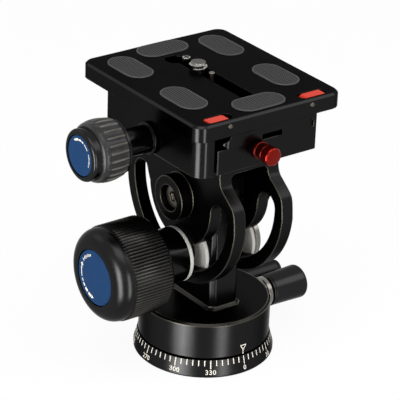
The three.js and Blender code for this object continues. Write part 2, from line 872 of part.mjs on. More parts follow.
// The plate's underside above the clamp's, and where the bores in the clamp end
const plateBottom = clamp.floorHeight + clearance;
const boreEnd = clamp.jawOuter + overrun;
const guidePinEnd = clamp.left + clamp.jawGap + guidePin.jawDepth - clearance - guidePin.length;
const buttonStopEnd = clamp.halfLength - button.stopInset - button.stopLength;
const buttonBoreEnd = buttonStopEnd - button.travel - 2 * seat - button.springLength;

// The dovetail's flank on one side, as the jaw that grips it sees it, from its top to its foot.
function flank(side, foot) {
  const neck = plate.centreX + side * (plate.neckHalf + clearance);
  const wide = plate.centreX + side * (plate.dovetailHalf + clearance);
  return [
    [neck, clamp.jawHeight],
    [neck, plateBottom + plate.neckRise],
    [wide, plateBottom + plate.wideRise],
    [wide, foot],
  ];
}

function makeClampBody() {
  const { left, right, floorHeight, jawHeight, halfLength } = clamp;
  const section = [
    [-left, 0],
    [right, 0],
    [right, jawHeight],
    ...flank(1, floorHeight),
    [-left, floorHeight],
  ];
  const screwEnd = -clampScrew.innerEnd - clearance;
  const screwBore = rod(clampScrew.radius + clearance, screwEnd, boreEnd, againstX, smallSides);
  const guideBore = rod(guidePin.radius + clearance, guidePinEnd - clearance, boreEnd, againstX, tinySides);
  const guideBores = [-guidePin.offset, guidePin.offset].map((y) => at(guideBore, 0, y, guidePin.height));
  const screwDepth = yokeScrew.length - (clamp.bottom - pivot.height - yoke.crossbarRise) + clearance;
  const yokeHole = rod(yokeScrew.shankRadius + clearance, -overrun, screwDepth, alongZ, tinySides);
  const yokeHoles = [-yokeScrew.offset, yokeScrew.offset].map((y) => at(yokeHole, 0, y, 0));
  const buttonBore = rod(button.boreRadius, buttonBoreEnd, halfLength + overrun, againstY, smallSides);
  const holeBottom = safetyPin.foot - safetyPin.drop - clearance;
  const pinHole = rod(safetyPin.radius + clearance, holeBottom, floorHeight + overrun, alongZ, tinySides);
  return cut(
    prismY(section, -halfLength, halfLength),
    at(screwBore, 0, 0, clampScrew.height),
    ...guideBores,
    ...yokeHoles,
    at(buttonBore, button.x, 0, button.height),
    at(pinHole, safetyPin.x, safetyPin.y, 0),
  );
}

function makeJaw() {
  const { left, jawGap, jawOuter, halfLength, jawHeight, jawCorner, lipHalfLength } = clamp;
  const inner = left + jawGap;
  const block = prismY(
    [
      [-jawOuter, 0],
      [-inner, 0],
      [-inner, jawHeight],
      [-jawOuter, jawHeight],
    ],
    -halfLength,
    halfLength,
  );
  const plan = rounded([
    [-jawOuter, -halfLength, jawCorner],
    [-inner, -halfLength],
    [-inner, halfLength],
    [-jawOuter, halfLength, jawCorner],
  ]);
  const lip = prismY(
    [[-inner - seat, jawHeight], ...flank(-1, plateBottom), [-inner - seat, plateBottom]],
    -lipHalfLength,
    lipHalfLength,
  );
  const screwBore = rod(clampScrew.radius + clearance, left, boreEnd, againstX, smallSides);
  const guideBore = rod(guidePin.radius + clearance, left, inner + guidePin.jawDepth, againstX, tinySides);
  const guideBores = [-guidePin.offset, guidePin.offset].map((y) => at(guideBore, 0, y, guidePin.height));
  const shaped = join(block.intersect(prismZ(plan, -overrun, jawHeight + overrun)), lip);
  return cut(shaped, at(screwBore, 0, 0, clampScrew.height), ...guideBores);
}

// A round outline with grooves cut into its rim.
function groovedOutline(radius, depth, count, share) {
  return Array.from({ length: count }, (_, i) => {
    const step = fullTurn / count;
    const from = i * step;
    const groove = step * share;
    const spoke = (reach, angle) => [reach * Math.cos(degrees(angle)), reach * Math.sin(degrees(angle))];
    return [
      spoke(radius, from + groove),
      spoke(radius, from + (groove + step) / 2),
      spoke(radius, from + step),
      spoke(radius - depth, from + step + groove / 2),
    ];
  }).flat();
}

function makeClampKnob(parent) {
  const knob = clampKnob;
  const discBore = knob.discRadius + clearance;
  const discFloor = knob.length - knob.discSink - knob.discThickness - seat;
  const boreDepth = clampScrew.outerEnd - knob.start + clearance;
  const barrelFrom = knob.rearRingLength;
  const grooveFrom = barrelFrom + knob.grooveLip;
  const grooveTo = knob.length - knob.noseLength;
  const profile = [
    [0, boreDepth],
    [clampScrew.radius + clearance, boreDepth],
    [clampScrew.radius + clearance, 0],
    [knob.rearRingRadius, 0],
    [knob.rearRingRadius, barrelFrom],
    [knob.radius, barrelFrom],
    ...arc(knob.radius - knob.noseRound, knob.length - knob.noseRound, knob.noseRound, 0, 90, cornerSteps),
    [discBore, knob.length],
    [discBore, discFloor],
    [0, discFloor],
  ];
  const blank = turned(profile, againstX, mediumSides);
  const outer = knob.radius + overrun;
  const outline = groovedOutline(outer, knob.grooveDepth + overrun, knob.grooves, knob.grooveShare);
  const envelope = join(
    prismX(outline, -grooveTo - seat, seat - grooveFrom),
    rod(outer, -overrun, grooveFrom, againstX, mediumSides),
    rod(outer, grooveTo, knob.length + overrun, againstX, mediumSides),
  );
  const place = [-knob.start, 0, clampScrew.height];
  addPiece(parent, "clamp_knob", blank.intersect(envelope), finishes.blackKnob, place);
  const discBack = discFloor + seat;
  const disc = rod(knob.discRadius, discBack, discBack + knob.discThickness, againstX, smallSides);
  addPiece(parent, "clamp_knob_disc", disc, finishes.blueDisc, place);
  const sleeve = turned(
    [
      [clampScrew.radius + clearance, clamp.jawOuter + seat],
      [stem.flangeRadius, clamp.jawOuter + seat],
      [stem.flangeRadius, clamp.jawOuter + seat + stem.flangeLength],
      [stem.radius, clamp.jawOuter + seat + stem.flangeLength],
      [stem.radius, stem.end],
      [clampScrew.radius + clearance, stem.end],
    ],
    againstX,
    smallSides,
  );
  addPiece(parent, "clamp_knob_stem", sleeve, finishes.blackGloss, [0, 0, clampScrew.height]);
  const screw = rod(clampScrew.radius, -clampScrew.innerEnd, clampScrew.outerEnd, againstX, smallSides);
  addPiece(parent, "clamp_screw", screw, finishes.steel, [0, 0, clampScrew.height]);
}

function makeRelease(parent) {
  const group = addGroup(parent, button.x, -clamp.halfLength, button.height);
  const bushFace = seat + button.bushFlange;
  const bush = turned(
    [
      [button.shankRadius + clearance, -button.bushLength],
      [button.bushRadius, -button.bushLength],
      [button.bushRadius, seat],
      [button.headRadius, seat],
      [button.headRadius, bushFace],
      [button.shankRadius + clearance, bushFace],
    ],
    againstY,
    smallSides,
  );
  addPiece(group, "button_bush", bush, finishes.redAnodised);
  const headFrom = bushFace + button.travel + seat;
  const stopFrom = -button.stopInset;
  const stopTo = stopFrom - button.stopLength;
  const plunger = turned(
    [
      [0, stopTo],
      [button.stopRadius, stopTo],
      [button.stopRadius, stopFrom],
      [button.shankRadius, stopFrom],
      [button.shankRadius, headFrom],
      [button.headRadius, headFrom],
      [button.headRadius, headFrom + button.headLength],
      [0, headFrom + button.headLength],
    ],
    againstY,
    smallSides,
  );
  addPiece(group, "release_button", plunger, finishes.redAnodised);
  const springTo = stopTo - button.travel - seat;
  const springFrom = springTo - button.springLength;
  const spring = tube(button.springBore, button.stopRadius, springFrom, springTo, againstY, tinySides);
  addPiece(group, "release_spring", spring, finishes.steel);
  const pin = rod(safetyPin.radius, safetyPin.foot, safetyPin.top, alongZ, tinySides);
  addPiece(parent, "safety_pin", pin, finishes.steel, [safetyPin.x, safetyPin.y, 0]);
}

function makeClamp(parent) {
  const group = addGroup(parent, 0, 0, clamp.bottom - pivot.height);
  addPiece(group, "clamp_body", makeClampBody(), finishes.blackAnodised);
  addPiece(group, "clamp_jaw", makeJaw(), finishes.blackAnodised);
  [-guidePin.offset, guidePin.offset].forEach((y, i) => {
    const name = i ? "jaw_guide_pin_rear" : "jaw_guide_pin_front";
    const pin = rod(guidePin.radius, guidePinEnd, guidePinEnd + guidePin.length, againstX, tinySides);
    addPiece(group, name, pin, finishes.steel, [0, y, guidePin.height]);
  });
  makeClampKnob(group);
  makeRelease(group);
  return group;
}

// Where the six pads lie on the plate: name, centre, and whether they run across it.
const padPlaces = [
  ["pad_rear_left", -pad.sideX, pad.rearY, false],
  ["pad_rear_middle", 0, pad.endRear, true],
  ["pad_rear_right", pad.sideX, pad.rearY, false],
  ["pad_front_right", pad.sideX, pad.frontY, false],
  ["pad_front_middle", 0, pad.endFront, true],
  ["pad_front_left", -pad.sideX, pad.frontY, false],
];

// A slot-shaped outline with round ends, centred, with its length along X or along Y.
function stadium(length, width, across) {
  const reach = (length - width) / 2;
  const end = arc(reach, 0, width / 2, -halfTurn / 2, halfTurn / 2, 2 * cornerSteps);
  const outline = [...end, ...end.map(([u, v]) => [-u, -v])];
  return across ? outline : outline.map(([u, v]) => [-v, u]);
}

// The plate's block with its chamfered top edge.
function makeFlange() {
  const { width, length, cornerRadius, topChamfer, flangeRise, height } = plate;
  const halfX = width / 2 - topChamfer;
  const halfY = length / 2 - topChamfer;
  const outline = rectangle(-halfX, halfX, -halfY, halfY, cornerRadius - topChamfer);
  const block = new THREE.ExtrudeGeometry(new THREE.Shape(toVectors(outline)), {
    depth: height - flangeRise,
    bevelThickness: topChamfer,
    bevelSize: topChamfer,
    bevelSegments: 1,
  });
  const solid = solidFrom(block.translate(0, 0, flangeRise - topChamfer));
  const below = prismZ(rectangle(-width, width, -length, length), flangeRise - 2 * topChamfer, flangeRise);
  return cut(solid, below);
}

function makePlate() {
  const { length, height, dovetailHalf, neckHalf, footInset, wideRise, neckRise, flangeRise } = plate;
  const half = length / 2 - plate.endInset;
  const side = [
    [dovetailHalf - footInset, 0],
    [dovetailHalf, wideRise],
    [neckHalf, neckRise],
    [neckHalf, flangeRise + seat],
  ];
  const mirrored = side.map(([u, v]) => [-u, v]).reverse();
  const rail = prismY([...side, ...mirrored], -half, half);
  const railOutline = rectangle(-dovetailHalf, dovetailHalf, -half, half, plate.endRadius);
  const railPlan = prismZ(railOutline, -overrun, height);
  const blank = join(makeFlange(), rail.intersect(railPlan));
  const grooveHalf = plate.grooveWidth / 2;
  const groove = rectangle(-grooveHalf, grooveHalf, -length, plate.pocketFront + seat);
  const pocketHalf = plate.pocketWidth / 2;
  const pocket = rectangle(-pocketHalf, pocketHalf, plate.pocketFront, plate.pocketRear, footInset);
  const slotLength = slot.rear - slot.front + slot.width;
  const slotCut = prismZ(stadium(slotLength, slot.width, false), 0, height + overrun);
  const padCuts = padPlaces.map(([, x, y, across]) => {
    const outline = stadium(pad.length + 2 * seat, pad.width + 2 * seat, across);
    return at(prismZ(outline, height - pad.recess, height + overrun), x, y, 0);
  });
  const headFloor = height - stopScrew.headHeight - 2 * seat;
  const stopHead = rod(stopScrew.headRadius + seat, headFloor, height + overrun, alongZ, tinySides);
  const shankFloor = height - stopScrew.length - clearance;
  const stopShank = rod(stopScrew.shankRadius + seat, shankFloor, height, alongZ, tinySides);
  return cut(
    blank,
    at(prismZ(groove, -overrun, plate.grooveDepth), plate.grooveCentre, 0, 0),
    prismZ(pocket, -overrun, plate.pocketDepth),
    at(slotCut, 0, (slot.front + slot.rear) / 2, 0),
    at(rod(slot.entryRadius, 0, height + overrun, alongZ, smallSides), slot.entryX, slot.entryY, 0),
    ...padCuts,
    at(join(stopHead, stopShank), stopScrew.x, stopScrew.y, 0),
    tabCuts(-1),
    tabCuts(1),
  );
}

const tabFront = -plate.length / 2 + tab.frontInset;
const tabRear = tabFront + tab.width;
const tabPivotX = tab.inner + tab.pivotRadius;
const tabPivotRise = plate.height - tab.pivotRadius - seat;

// The recess of one red stop and the hole of its pin.
function tabCuts(side) {
  const half = tab.recessLength / 2;
  const centre = tab.inner + tab.length / 2;
  const outline = rectangle(-half, half, tabFront - clearance, tabRear + clearance, tab.width / 2);
  const recess = prismZ(outline, plate.height - tab.recessDepth, plate.height + overrun);
  const face = plate.length / 2;
  const pinHole = rod(tab.pinRadius + seat, face - tab.pinLength - seat, face + overrun, againstY, tinySides);
  return join(at(recess, side * centre, 0, 0), at(pinHole, side * tabPivotX, 0, tabPivotRise));
}

// One red stop, lying flat, with its round end about the pin.
function makeTab(side) {
  const top = plate.height - seat;
  const outer = tab.inner + tab.length;
  const outline = [
    ...arc(tabPivotX, tabPivotRise, tab.pivotRadius, halfTurn / 2, tab.roundEnd, 2 * cornerSteps),
    [tabPivotX + 2 * tab.pivotRadius, top - tab.thickness],
    [outer, top - tab.thickness],
    [outer, top],
  ].map(([u, v]) => [side * u, v]);
  const hole = rod(tab.pinRadius + clearance, -tabRear - overrun, -tabFront + overrun, againstY, tinySides);
  const blank = prismY(side < 0 ? outline.reverse() : outline, tabFront, tabRear);
  return cut(blank, at(hole, side * tabPivotX, 0, tabPivotRise));
}

function makeScrewSlider(parent) {
  const top = plate.pocketDepth - seat;
  const bottom = top - slider.thickness;
  const half = slider.width / 2;
  const outline = rectangle(-half, half, slider.front, slider.rear, plate.footInset);
  const neckHole = rod(cameraScrew.neckRadius + clearance, 0, plate.height, alongZ, smallSides);
  const twistHole = rod(twistPin.radius + seat, 0, plate.height, alongZ, tinySides);
  const holes = [at(neckHole, 0, cameraScrew.y, 0), at(twistHole, 0, twistPin.y, 0)];
  addPiece(parent, "screw_slider", cut(prismZ(outline, bottom, top), ...holes), finishes.blackAnodised);
  const headTop = bottom - seat;
  const { headRadius, headHeight, neckRadius, threadRadius, lead, proud } = cameraScrew;
  const headFace = headTop - headHeight;
  const threadBottom = plate.height + clearance;
  const threadTop = plate.height + proud;
  const screw = turned(
    [
      [0, headFace],
      [headRadius, headFace],
      [headRadius, headTop],
      [neckRadius, headTop],
      [neckRadius, threadBottom],
      [threadRadius, threadBottom],
      [threadRadius, threadTop - lead],
      [threadRadius - lead, threadTop],
      [0, threadTop],
    ],
    alongZ,
    smallSides,
  );
  const { slotWidth, slotDepth } = cameraScrew;
  const slotSection = rectangle(-slotWidth / 2, slotWidth / 2, headFace - overrun, headFace + slotDepth);
  const slotCut = prismX(slotSection, -headRadius - overrun, headRadius + overrun);
  addPiece(parent, "camera_screw", cut(screw, slotCut), finishes.steel, [0, cameraScrew.y, 0]);
  const pinTop = plate.height + twistPin.proud;
  const pin = turned(
    [
      [0, bottom],
      [twistPin.radius, bottom],
      [twistPin.radius, pinTop - twistPin.headHeight],
      [twistPin.headRadius, pinTop - twistPin.headHeight],
      [twistPin.headRadius, pinTop],
      [0, pinTop],
    ],
    alongZ,
    tinySides,
  );
  addPiece(parent, "anti_twist_pin", pin, finishes.steel, [0, twistPin.y, 0]);
}

function makePlateGroup(parent) {
  const group = addGroup(parent, plate.centreX, plate.centreY, plateBottom);
  addPiece(group, "quick_release_plate", makePlate(), finishes.blackAnodised);
  padPlaces.forEach(([name, x, y, across]) => {
    const rise = plate.height - pad.recess + seat;
    const solid = prismZ(stadium(pad.length, pad.width, across), rise, plate.height + pad.proud);
    addPiece(group, name, solid, finishes.rubber, [x, y, 0]);
  });
  const screw = turned(
    [
      [0, plate.height - stopScrew.length],
      [stopScrew.shankRadius, plate.height - stopScrew.length],
      [stopScrew.shankRadius, plate.height - seat - stopScrew.headHeight],
      [stopScrew.headRadius, plate.height - seat - stopScrew.headHeight],
      [stopScrew.headRadius, plate.height - seat],
      [0, plate.height - seat],
    ],
    alongZ,
    tinySides,
  );
  addPiece(group, "stop_screw", screw, finishes.steel, [stopScrew.x, stopScrew.y, 0]);
  [-1, 1].forEach((side) => {
    const hand = side < 0 ? "left" : "right";
    addPiece(group, `flip_stop_${hand}`, makeTab(side), finishes.redPaint);
    const pin = rod(tab.pinRadius, plate.length / 2 - tab.pinLength, plate.length / 2, againstY, tinySides);
    addPiece(group, `flip_stop_pin_${hand}`, pin, finishes.steel, [side * tabPivotX, 0, tabPivotRise]);
  });
  makeScrewSlider(group);
}

const head = new THREE.Group();
makeBase(head);
const panGroup = makePanGroup(head);
makePanLock(panGroup);
makeRearPlug(panGroup);
makeTiltLock(panGroup);
const tiltGroup = makeTiltGroup(panGroup);
const clampGroup = makeClamp(tiltGroup);
makePlateGroup(clampGroup);

export default head;
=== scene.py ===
"""Looks of a two-way pan tilt head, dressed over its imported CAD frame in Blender 4.5.

Every piece is modelled in millimetres and then set in the head: +Z up, the front at -Y, the two large knobs at -X.
"""

import json
import logging
import math
from collections.abc import Sequence
from dataclasses import dataclass, field
from enum import Enum
from functools import cache

import bmesh
import bpy
from mathutils import Matrix, Vector


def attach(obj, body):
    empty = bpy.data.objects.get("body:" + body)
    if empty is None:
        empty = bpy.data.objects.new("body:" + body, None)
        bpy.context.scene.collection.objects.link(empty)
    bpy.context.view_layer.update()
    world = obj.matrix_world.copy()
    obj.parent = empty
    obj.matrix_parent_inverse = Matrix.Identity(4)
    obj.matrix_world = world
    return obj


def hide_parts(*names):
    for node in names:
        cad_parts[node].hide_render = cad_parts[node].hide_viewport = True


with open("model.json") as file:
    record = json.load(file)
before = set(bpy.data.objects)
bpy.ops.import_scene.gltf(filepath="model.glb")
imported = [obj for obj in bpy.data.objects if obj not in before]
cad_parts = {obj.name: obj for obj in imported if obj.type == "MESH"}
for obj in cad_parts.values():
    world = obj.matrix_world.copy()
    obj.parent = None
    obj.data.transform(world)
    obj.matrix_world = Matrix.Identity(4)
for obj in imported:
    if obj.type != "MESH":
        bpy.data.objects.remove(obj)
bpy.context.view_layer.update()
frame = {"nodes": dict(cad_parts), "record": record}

Mesh = bmesh.types.BMesh
Point, Edge, Face = bmesh.types.BMVert, bmesh.types.BMEdge, bmesh.types.BMFace
Tree, Socket = bpy.types.NodeTree, bpy.types.NodeSocket
Colour = tuple[float, float, float, float]
Profile = Sequence[tuple[float, float]]
Place = tuple[float, float, float]

MM = 0.001  # one millimetre in Blender's metres
MERGE = 0.001  # points closer than this many millimetres are one point
ORIGIN = (0, 0, 0)
FINE, ROUND, SMALL = 144, 96, 48  # steps of a full turn, by how large the piece is
COPLANAR = math.radians(0.1)  # faces that meet at less than this angle are one flat face
SLOT_WIDTH = 0.16  # a slot's width, as a share of its length
ARM_WIDTH = 0.65  # width of a cross recess's arms, as a share of a third of the recess
PLATE_X, PLATE_Y = 2.45, 4.8  # middle of the quick-release plate

log = logging.getLogger("head")


class Axis(Enum):
    """Direction that a turned piece's own +Z takes in the head."""

    UP = (0, 0, 1)
    DOWN = (0, 0, -1)
    LEFT = (-1, 0, 0)
    RIGHT = (1, 0, 0)
    FRONT = (0, -1, 0)

    def placed(self, place: Place) -> Matrix:
        """Matrix that turns +Z to this direction and then moves the origin to a place."""
        turn = Vector((0, 0, 1)).rotation_difference(Vector(self.value))
        return Matrix.Translation(place) @ turn.to_matrix().to_4x4()


class Recess(Enum):
    """Shape of the driver's recess in a screw head."""

    HEXAGON = "hexagon"
    CROSS = "cross"
    SLOT = "slot"


# Materials


def linear(colour: str) -> Colour:
    """Turns an sRGB hex colour to linear RGBA.

    Args:
        colour: Six hex digits.

    Returns:
        The four values that a colour socket takes.
    """
    parts = [int(colour[i : i + 2], 16) / 255 for i in (0, 2, 4)]
    red, green, blue = (c / 12.92 if c <= 0.04045 else ((c + 0.055) / 1.055) ** 2.4 for c in parts)
    return red, green, blue, 1.0


def per(size: float) -> float:
    """Texture scale at which a pattern repeats once in so many millimetres."""
    return 1 / (size * MM)


def add_node(
    tree: Tree, kind: str, settings: dict | None = None, values: dict | None = None, links: dict | None = None
) -> bpy.types.Node:
    """Adds one node to a material.

    Args:
        tree: The node tree that gets it.
        kind: Blender's type name of the node, after ShaderNode.
        settings: The node's own settings, by name.
        values: Constants of its inputs, by name or number.
        links: Output sockets that feed its inputs, by name or number.

    Returns:
        The new node.
    """
    node = tree.nodes.new(f"ShaderNode{kind}")
    for name, value in (settings or {}).items():
        setattr(node, name, value)
    for name, value in (values or {}).items():
        node.inputs[name].default_value = value
    for name, socket in (links or {}).items():
        tree.links.new(socket, node.inputs[name])
    return node


@dataclass(frozen=True)
class Finish:
    """A real material with its surface. The grain's pitch and depth are in millimetres."""

    name: str
    slot: str
    colour: str
    roughness: float
    metallic: float = 0.0
    grain: float = 0.3
    depth: float = 0.004
    detail: float = 2.0
    mottle: float = 7.0
    variation: float = 0.06
    edge_tint: float = 1.0
    gloss: float = 0.5
    full: float = 1.0

    def material(self) -> bpy.types.Material:
        """The finish's material, made once."""
        return build_material(self)

    def ground(self, tree: Tree, place: Socket) -> Socket:
        """Height of the surface's texture: here a fine grain. Takes the tree and the Object coordinates."""
        values = {"Scale": per(self.grain), "Detail": self.detail}
        return add_node(tree, "TexNoise", values=values, links={"Vector": place}).outputs["Fac"]

    def tint(self, tree: Tree, place: Socket) -> tuple[Socket, list[Colour]]:
        """Colour of the surface: here one tone that drifts a little across the piece.

        Args:
            tree: The material's node tree.
            place: Object coordinates.

        Returns:
            The socket that blends two colours, and the two colours.
        """
        drift = add_node(tree, "TexNoise", values={"Scale": per(3 * self.mottle)}, links={"Vector": place})
        tone = linear(self.colour)[:3]
        return drift.outputs["Fac"], [(*(min(1.0, c * share) for c in tone), 1.0) for share in (0.88, 1.1)]


@cache
def build_material(finish: Finish) -> bpy.types.Material:
    """Builds a finish's node tree.

    Args:
        finish: The finish with its values and its own ground and tint.

    Returns:
        The new material.
    """
    made = bpy.data.materials.new(finish.name)
    made.use_nodes = True
    tree = made.node_tree
    shader = tree.nodes["Principled BSDF"]
    shader.inputs["Metallic"].default_value = finish.metallic
    shader.inputs["Specular Tint"].default_value = (finish.edge_tint,) * 3 + (1.0,)
    shader.inputs["Specular IOR Level"].default_value = finish.gloss
    place = add_node(tree, "TexCoord").outputs["Object"]
    blend, colours = finish.tint(tree, place)
    ramp = add_node(tree, "ValToRGB", links={0: blend})
    for stop, colour in zip(ramp.color_ramp.elements, colours):
        stop.color = colour
    ramp.color_ramp.elements[1].position = finish.full
    mottle = add_node(tree, "TexNoise", values={"Scale": per(finish.mottle)}, links={"Vector": place}).outputs["Fac"]
    limits = {"To Min": finish.roughness - finish.variation, "To Max": finish.roughness + finish.variation}
    spread = add_node(tree, "MapRange", values=limits, links={"Value": mottle})
    relief = {"Strength": 1.0, "Distance": finish.depth * MM}
    bump = add_node(tree, "Bump", values=relief, links={"Height": finish.ground(tree, place)})
    for name, node in (("Base Color", ramp), ("Roughness", spread), ("Normal", bump)):
        tree.links.new(node.outputs[0], shader.inputs[name])
    return made


@dataclass(frozen=True)
class TurnedFinish(Finish):
    """A surface cut on a lathe: fine tool marks run round the axis, as bands along it."""

    detail: float = 3.0
    along: Place = (0, 0, 1)

    def ground(self, tree: Tree, place: Socket) -> Socket:
        """Height of the tool marks, which change along the axis alone."""
        squeezed = add_node(tree, "Mapping", values={"Scale": Vector(self.along)}, links={"Vector": place})
        return super().ground(tree, squeezed.outputs["Vector"])


@dataclass(frozen=True)
class RibbedFinish(TurnedFinish):
    """A ribbed grip along X whose crests are painted bright: a painted highlight along each crest. The axis and the
    crests' radius are in millimetres.
    """

    axis: tuple[float, float] = (0, 40)
    crest: float = 17.0
    worn: str = "4a4845"

    def tint(self, tree: Tree, place: Socket) -> tuple[Socket, list[Colour]]:
        """Colour of the surface: the tone in the grooves, and the lighter one painted on the crests as a painted
        highlight.

        Args:
            tree: The material's node tree.
            place: Object coordinates.

        Returns:
            The socket that blends the two colours, and the two colours.
        """
        values = {"Location": Vector((0, *self.axis)) * -MM, "Scale": Vector((0, 1, 1))}
        centred = add_node(tree, "Mapping", values=values, links={"Vector": place}).outputs["Vector"]
        radius = add_node(tree, "VectorMath", {"operation": "LENGTH"}, links={0: centred}).outputs["Value"]
        # The crests are painted lighter: a painted highlight along each rib.
        values = {"From Min": (self.crest - 0.22) * MM, "From Max": (self.crest - 0.03) * MM}
        crest_highlight = add_node(tree, "MapRange", values=values, links={"Value": radius})
        return crest_highlight.outputs["Result"], [linear(self.colour), linear(self.worn)]


@dataclass(frozen=True)
class WovenRubber(Finish):
    """Rubber moulded against a cloth: a diagonal weave of small raised squares."""

    full: float = 0.6
    pitch: float = 0.95
    hollow: str = "121212"

    def ground(self, tree: Tree, place: Socket) -> Socket:
        """Height of the weave, from two crossed waves.

        Args:
            tree: The material's node tree.
            place: Object coordinates.

        Returns:
            The socket with the height.
        """
        lean = {"Rotation": Vector((0, 0, math.radians(3)))}
        leaning = {"Vector": add_node(tree, "Mapping", values=lean, links={"Vector": place}).outputs["Vector"]}
        values = {"Scale": per(self.pitch) * math.tau / 20, "Distortion": 0.5, "Detail": 1.0}
        bands = [{"bands_direction": way, "wave_profile": "SIN"} for way in "XY"]
        waves = [add_node(tree, "TexWave", band, values, leaning).outputs["Fac"] for band in bands]
        return add_node(tree, "Math", {"operation": "MULTIPLY"}, links=dict(enumerate(waves))).outputs[0]

    def tint(self, tree: Tree, place: Socket) -> tuple[Socket, list[Colour]]:
        """Colour of the weave: the hollows are painted darker than the raised squares, as painted shade."""
        return self.ground(tree, place), [linear(self.hollow), linear(self.colour)]


BLACK = {"slot": "black_anodised", "metallic": 1.0, "edge_tint": 0.45}
# Black anodised aluminium, bead blasted: near black, with soft broad highlights and a very fine grain
BLASTED = Finish("black_anodised_blasted", colour="202020", roughness=0.28, grain=0.22, depth=0.003, **BLACK)
# The same after turning: the highlights run down the wall and fine rings show across them
TURNED_UP = TurnedFinish("black_anodised_turned", colour="212121", roughness=0.27, grain=0.35, depth=0.002, **BLACK)
# Black anodised aluminium with a finely milled, brighter surface, as on the clamp
CUT = Finish("black_anodised_milled", colour="202020", roughness=0.26, grain=0.5, depth=0.001, **BLACK)
# The plate: the same, polished, so that the camera screw is mirrored in it
POLISHED = Finish(
    "black_anodised_polished", colour="202020", roughness=0.2, grain=0.5, depth=0.0006, variation=0.03, **BLACK
)
# Edges painted a thin, warm grey line: partly the black worn to bare aluminium, partly a painted highlight along the
# edges
EDGE_WEAR_AND_HIGHLIGHT = Finish("edge_wear_and_painted_highlight", "black_anodised", "393630", 0.34, 1.0, grain=0.3, depth=0.002)
ACROSS = {"metallic": 1.0, "edge_tint": 0.6, "along": (1, 0, 0)}
# The sleeves behind the knobs: polished before they were anodised, so their highlights are narrow and bright
SLEEVE = TurnedFinish("black_anodised_sleeve", "black_gloss", "222222", 0.2, grain=0.4, depth=0.001, **ACROSS)
# The pan lock's knob and the small knob's bezel: satin black with narrow highlights
KNOB = TurnedFinish("black_anodised_knob", "black_knob", "272727", 0.23, grain=0.3, depth=0.001, **ACROSS)
# The large knob: the same black, with a painted highlight of metal grey along the ribs' crests
RIBBED = RibbedFinish("black_anodised_ribs", "black_knob", "232323", 0.28, grain=0.3, depth=0.001, **ACROSS)
# The small knob's grip: satin black and slightly rough, duller than the bezel in front of it
GRIP = Finish("satin_black_grip", "black_knob", "131212", 0.4, grain=0.35, depth=0.012, gloss=0.32)
# The crests of its ridges, painted lighter: a painted highlight
GRIP_CREST_HIGHLIGHT = Finish("satin_black_grip_painted_highlight", "black_knob", "494641", 0.4, grain=0.35, depth=0.012, gloss=0.45)
# Stainless steel, turned: bright and slightly warm, with fine tool marks
LATHE = {"roughness": 0.22, "metallic": 1.0, "grain": 0.25, "depth": 0.003}
STEEL = TurnedFinish("stainless_steel_turned", "steel", "94928d", **LATHE)
# The steel turned across X: the same steel painted darker, as painted shade that dims its mirror image of the white
# world
STEEL_ACROSS_PAINTED_SHADE = TurnedFinish("stainless_steel_across_painted_shade", "steel", "73716c", along=(1, 0, 0), **LATHE)
# Small steel parts, plated and dull: grey with a warm cast
DULL_STEEL = Finish("plated_steel_dull", "steel", "5f5b53", 0.34, 1.0, grain=0.2, depth=0.003)
# The camera screw's end face: the same steel, painted darker than the thread; the dark tone is painted shade standing
# in for a dim reflection on the upward face
STEEL_END_PAINTED_SHADE = Finish("steel_end_painted_shade", "steel", "3d3b37", 0.3, 1.0, grain=0.2, depth=0.003)
# Brass, turned: the insert inside the large knob
BRASS = TurnedFinish("brass_turned", "brass", "c2a052", 0.3, 1.0, grain=0.25, depth=0.003)
# Natural nylon, machined: white with a faint warmth, and dull
NYLON = Finish("nylon_natural", "nylon", "e4e2dd", 0.5, grain=0.4, gloss=0.3)
# The outer washers: the same nylon, painted greyer than the inner ones; the grey is painted shade that tones down the
# stronger light on them
NYLON_PAINTED_SHADE = Finish("nylon_washer_painted_shade", "nylon", "cfcdc8", 0.45, grain=0.4, gloss=0.3)
# Dark grey rubber that keeps the weave of its mould, with painted shade in the weave's hollows
RUBBER = WovenRubber("rubber_woven_texture", "rubber", "5a5a5a", 0.8, depth=0.08, gloss=0.1)
# The same rubber where it is smooth, on the pads' rims: darker than the raised squares, lighter than the hollows
RUBBER_RIM = Finish("rubber_smooth_rim", "rubber", "4a4a4a", 0.6, depth=0.01, gloss=0.2)
# Blue anodised disc, lightly brushed
BLUE = Finish("blue_anodised_disc", "blue_disc", "113359", 0.42, depth=0.002, gloss=0.04)
# Red anodised aluminium: deep red in the shade and bright along its edges
RED = {"slot": "red_anodised", "metallic": 0.9, "depth": 0.002, "along": (0, 1, 0)}
RED_METAL = TurnedFinish("red_anodised_aluminium", colour="700f08", roughness=0.24, **RED)
# The same red in the bush behind the button, darker because its grooves hold the shade
RED_BUSH = TurnedFinish("red_anodised_bush", colour="4a0a06", roughness=0.3, **RED)
# Red enamel paint over metal: even and slightly glossy
RED_PAINT = Finish("red_enamel", "red_paint", "d33a25", 0.42, grain=0.6, depth=0.003, gloss=0.12)
# Ivory ink pressed into engraved marks
INK = Finish("white_engraving_ink", "nylon", "d9d4c8", 0.6, grain=0.2, depth=0.003, gloss=0.2)


# Mesh work, in millimetres


def only(kind: type, made: dict) -> list:
    """Picks one kind of element out of what an operator gives back."""
    return [element for element in made["geom"] if isinstance(element, kind)]


def scale_radius(point: Point, share: float) -> None:
    """Moves a point towards or away from +Z."""
    point.co.x *= share
    point.co.y *= share


def round_edges(mesh: Mesh, edges: list[Edge], width: float, count: int = 2) -> list[Face]:
    """Rounds edges.

    Args:
        mesh: The mesh.
        edges: Its edges to round.
        width: Width of the rounding.
        count: Number of faces across it.

    Returns:
        The faces of the roundings.
    """
    return bmesh.ops.bevel(
        mesh, geom=edges, offset=width, offset_type="OFFSET", segments=count, profile=0.5, affect="EDGES", material=-1
    )["faces"]


